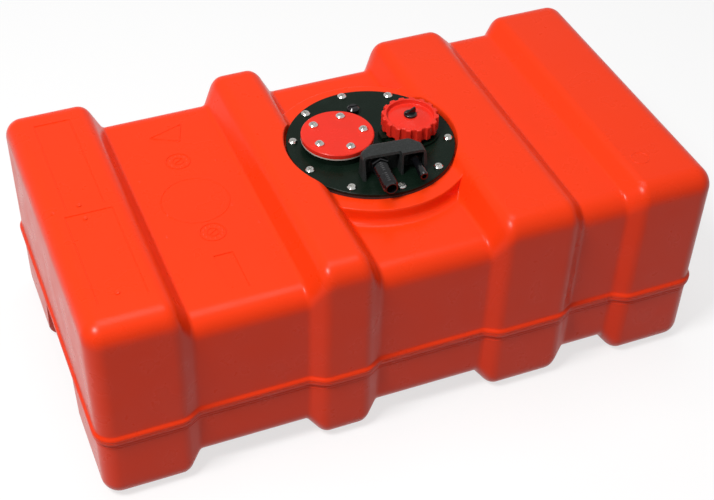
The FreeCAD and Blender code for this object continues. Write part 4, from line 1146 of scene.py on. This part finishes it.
def housing_bay(surface, start, stop, lean):
    """A bay's arch, carried from the leaning front to the bay's upright back wall."""
    arch = bent_line([(stop, 0), (stop, BAY_TOP), (start, BAY_TOP), (start, 0)], [BAY_ROUND, BAY_ROUND], 5)
    mouth = surface.add(np.column_stack([arch[:, 0], HOUSING_FRONT + arch[:, 1] * lean, arch[:, 1]]))
    back = surface.add(np.column_stack([arch[:, 0], np.full(len(arch), BAY_BACK), arch[:, 1]]))
    surface.face(weave(np.stack([mouth, back])))
    surface.face(back)
    return mouth, [mouth[0], back[0], back[-1], mouth[-1]]


def fitting_housing():
    """Walls and top, two bays open to the front, and a front that steps back over the larger."""
    surface = Surface()
    walls = surface.add(housing_walls())
    surface.face(weave(walls))
    upper, lower, foot = surface.add([
        (STEP_X, HOUSING_FRONT + HOUSING_HEIGHT * LEFT_LEAN, HOUSING_HEIGHT),
        (STEP_X, HOUSING_FRONT + HOUSING_HEIGHT * RIGHT_LEAN, HOUSING_HEIGHT),
        (STEP_X, HOUSING_FRONT, 0)])
    left_mouth, left_floor = housing_bay(surface, *BAYS[0], LEFT_LEAN)
    right_mouth, right_floor = housing_bay(surface, *BAYS[1], RIGHT_LEAN)
    surface.face(np.concatenate([walls[:, -1], [lower, upper]])[::-1])
    surface.face([upper, foot, lower])
    surface.face(np.concatenate([walls[0], [upper, foot], left_mouth])[::-1])
    surface.face(np.concatenate([[foot, lower], walls[-1, ::-1], right_mouth])[::-1])
    surface.face(np.concatenate([walls[:, 0], right_floor, [foot], left_floor]))
    return surface


def build_pieces():
    make_piece("upper_shell_skin", upper_shell(), "red_shell", replaces=("upper_shell",), sharp=60)
    make_piece("mould_marks", mould_marks(), "red_shell", sharp=30)
    make_piece("skirt_lines", skirt_lines(), "red_shell", sharp=60)
    make_piece("lower_shell_skin", lower_shell(), "red_shell", replaces=("lower_shell",), sharp=50)
    for name, surface, slot, body, node, sharp in (
            ("cap_body", filler_cap(), "red_trim", "cap", "filler_cap", 50),
            ("vent_screw_body", vent_screw(), "glossy_black", "vent", "vent_screw", 50),
            ("vent_barb_body", vent_barb(), "glossy_black", "tank", "vent_barb", 25),
            ("housing_hood", fitting_housing(), "grained_plastic", "tank", "fitting_housing", 35)):
        make_piece(name, surface, slot, body, (node,), sharp, in_plate)


# Studio

OWN_WHITE = 0.7
FLOOR_HALF = 6.0
LIGHT_STRENGTH = 0.22
MIRRORED_SHARE = 0.4

# Place in metres, side in metres and power in watts of each lamp
LAMPS = {
    "overhead_lamp": ((0.1, 0.4, 2.4), 1.2, 14),
    "left_lamp": ((-1.1, -0.5, 2.1), 0.6, 43),
}
LAMP_AIM = (0, 0, 0.1)


def floor_material():
    """A plain pale floor, which the camera and mirrors see mostly as its own white.

    The share that is left still shows the object's shadow.
    """
    recipe = Recipe("floor", (0.3, 0.3, 0.3), 0.8, specular=0.0)
    path = recipe.add("ShaderNodeLightPath")
    seen = recipe.maths("MAXIMUM", path.outputs["Is Camera Ray"], path.outputs["Is Glossy Ray"])
    seen = recipe.maths("MAXIMUM", seen, path.outputs["Is Transmission Ray"])
    recipe.tint(seen, (1.0, 1.0, 1.0))
    white = recipe.add("ShaderNodeEmission", Color=(1, 1, 1, 1), Strength=1.0)
    mixed = recipe.add("ShaderNodeMixShader", Fac=recipe.maths("MULTIPLY", seen, OWN_WHITE))
    recipe.feed(mixed.inputs[1], recipe.shader.outputs[0])
    recipe.feed(mixed.inputs[2], white.outputs[0])
    recipe.feed(recipe.tree.nodes["Material Output"].inputs["Surface"], mixed.outputs[0])
    return recipe.finish()


def make_floor():
    mesh = bpy.data.meshes.new("floor")
    corners = [(x * FLOOR_HALF, y * FLOOR_HALF, 0) for x, y in ((-1, -1), (1, -1), (1, 1), (-1, 1))]
    mesh.from_pydata(corners, [], [(0, 1, 2, 3)])
    mesh.materials.append(floor_material())
    floor = bpy.data.objects.new("floor", mesh)
    bpy.context.collection.objects.link(floor)


def make_world():
    """An even pale surround: full white where it is seen, softer in mirrors and as light."""
    world = bpy.data.worlds.new("surround")
    world.use_nodes = True
    wiring = Wiring(world.node_tree)
    path = wiring.add("ShaderNodeLightPath").outputs
    mirrored = wiring.maths("MULTIPLY", path["Is Glossy Ray"], MIRRORED_SHARE)
    seen = wiring.maths("MAXIMUM", path["Is Camera Ray"], mirrored)
    seen = wiring.maths("MAXIMUM", seen, path["Is Transmission Ray"])
    background = world.node_tree.nodes["Background"]
    background.inputs["Color"].default_value = (1, 1, 1, 1)
    wiring.feed(background.inputs["Strength"], wiring.ramp(seen, 0, 1, LIGHT_STRENGTH, 1.0))
    bpy.context.scene.world = world


def make_lamp(name, place, aim, side, power):
    data = bpy.data.lights.new(name, "AREA")
    data.shape = "SQUARE"
    data.size = side
    data.energy = power
    lamp = bpy.data.objects.new(name, data)
    lamp.location = place
    lamp.rotation_mode = "QUATERNION"
    lamp.rotation_quaternion = (Vector(aim) - Vector(place)).to_track_quat("-Z", "Y")
    bpy.context.collection.objects.link(lamp)


def make_studio():
    make_floor()
    make_world()
    for name, (place, side, power) in LAMPS.items():
        make_lamp(name, place, LAMP_AIM, side, power)


make_camera()
make_studio()
dress_cad_nodes()
build_pieces()

bpy.context.scene.view_settings.view_transform = "Standard"
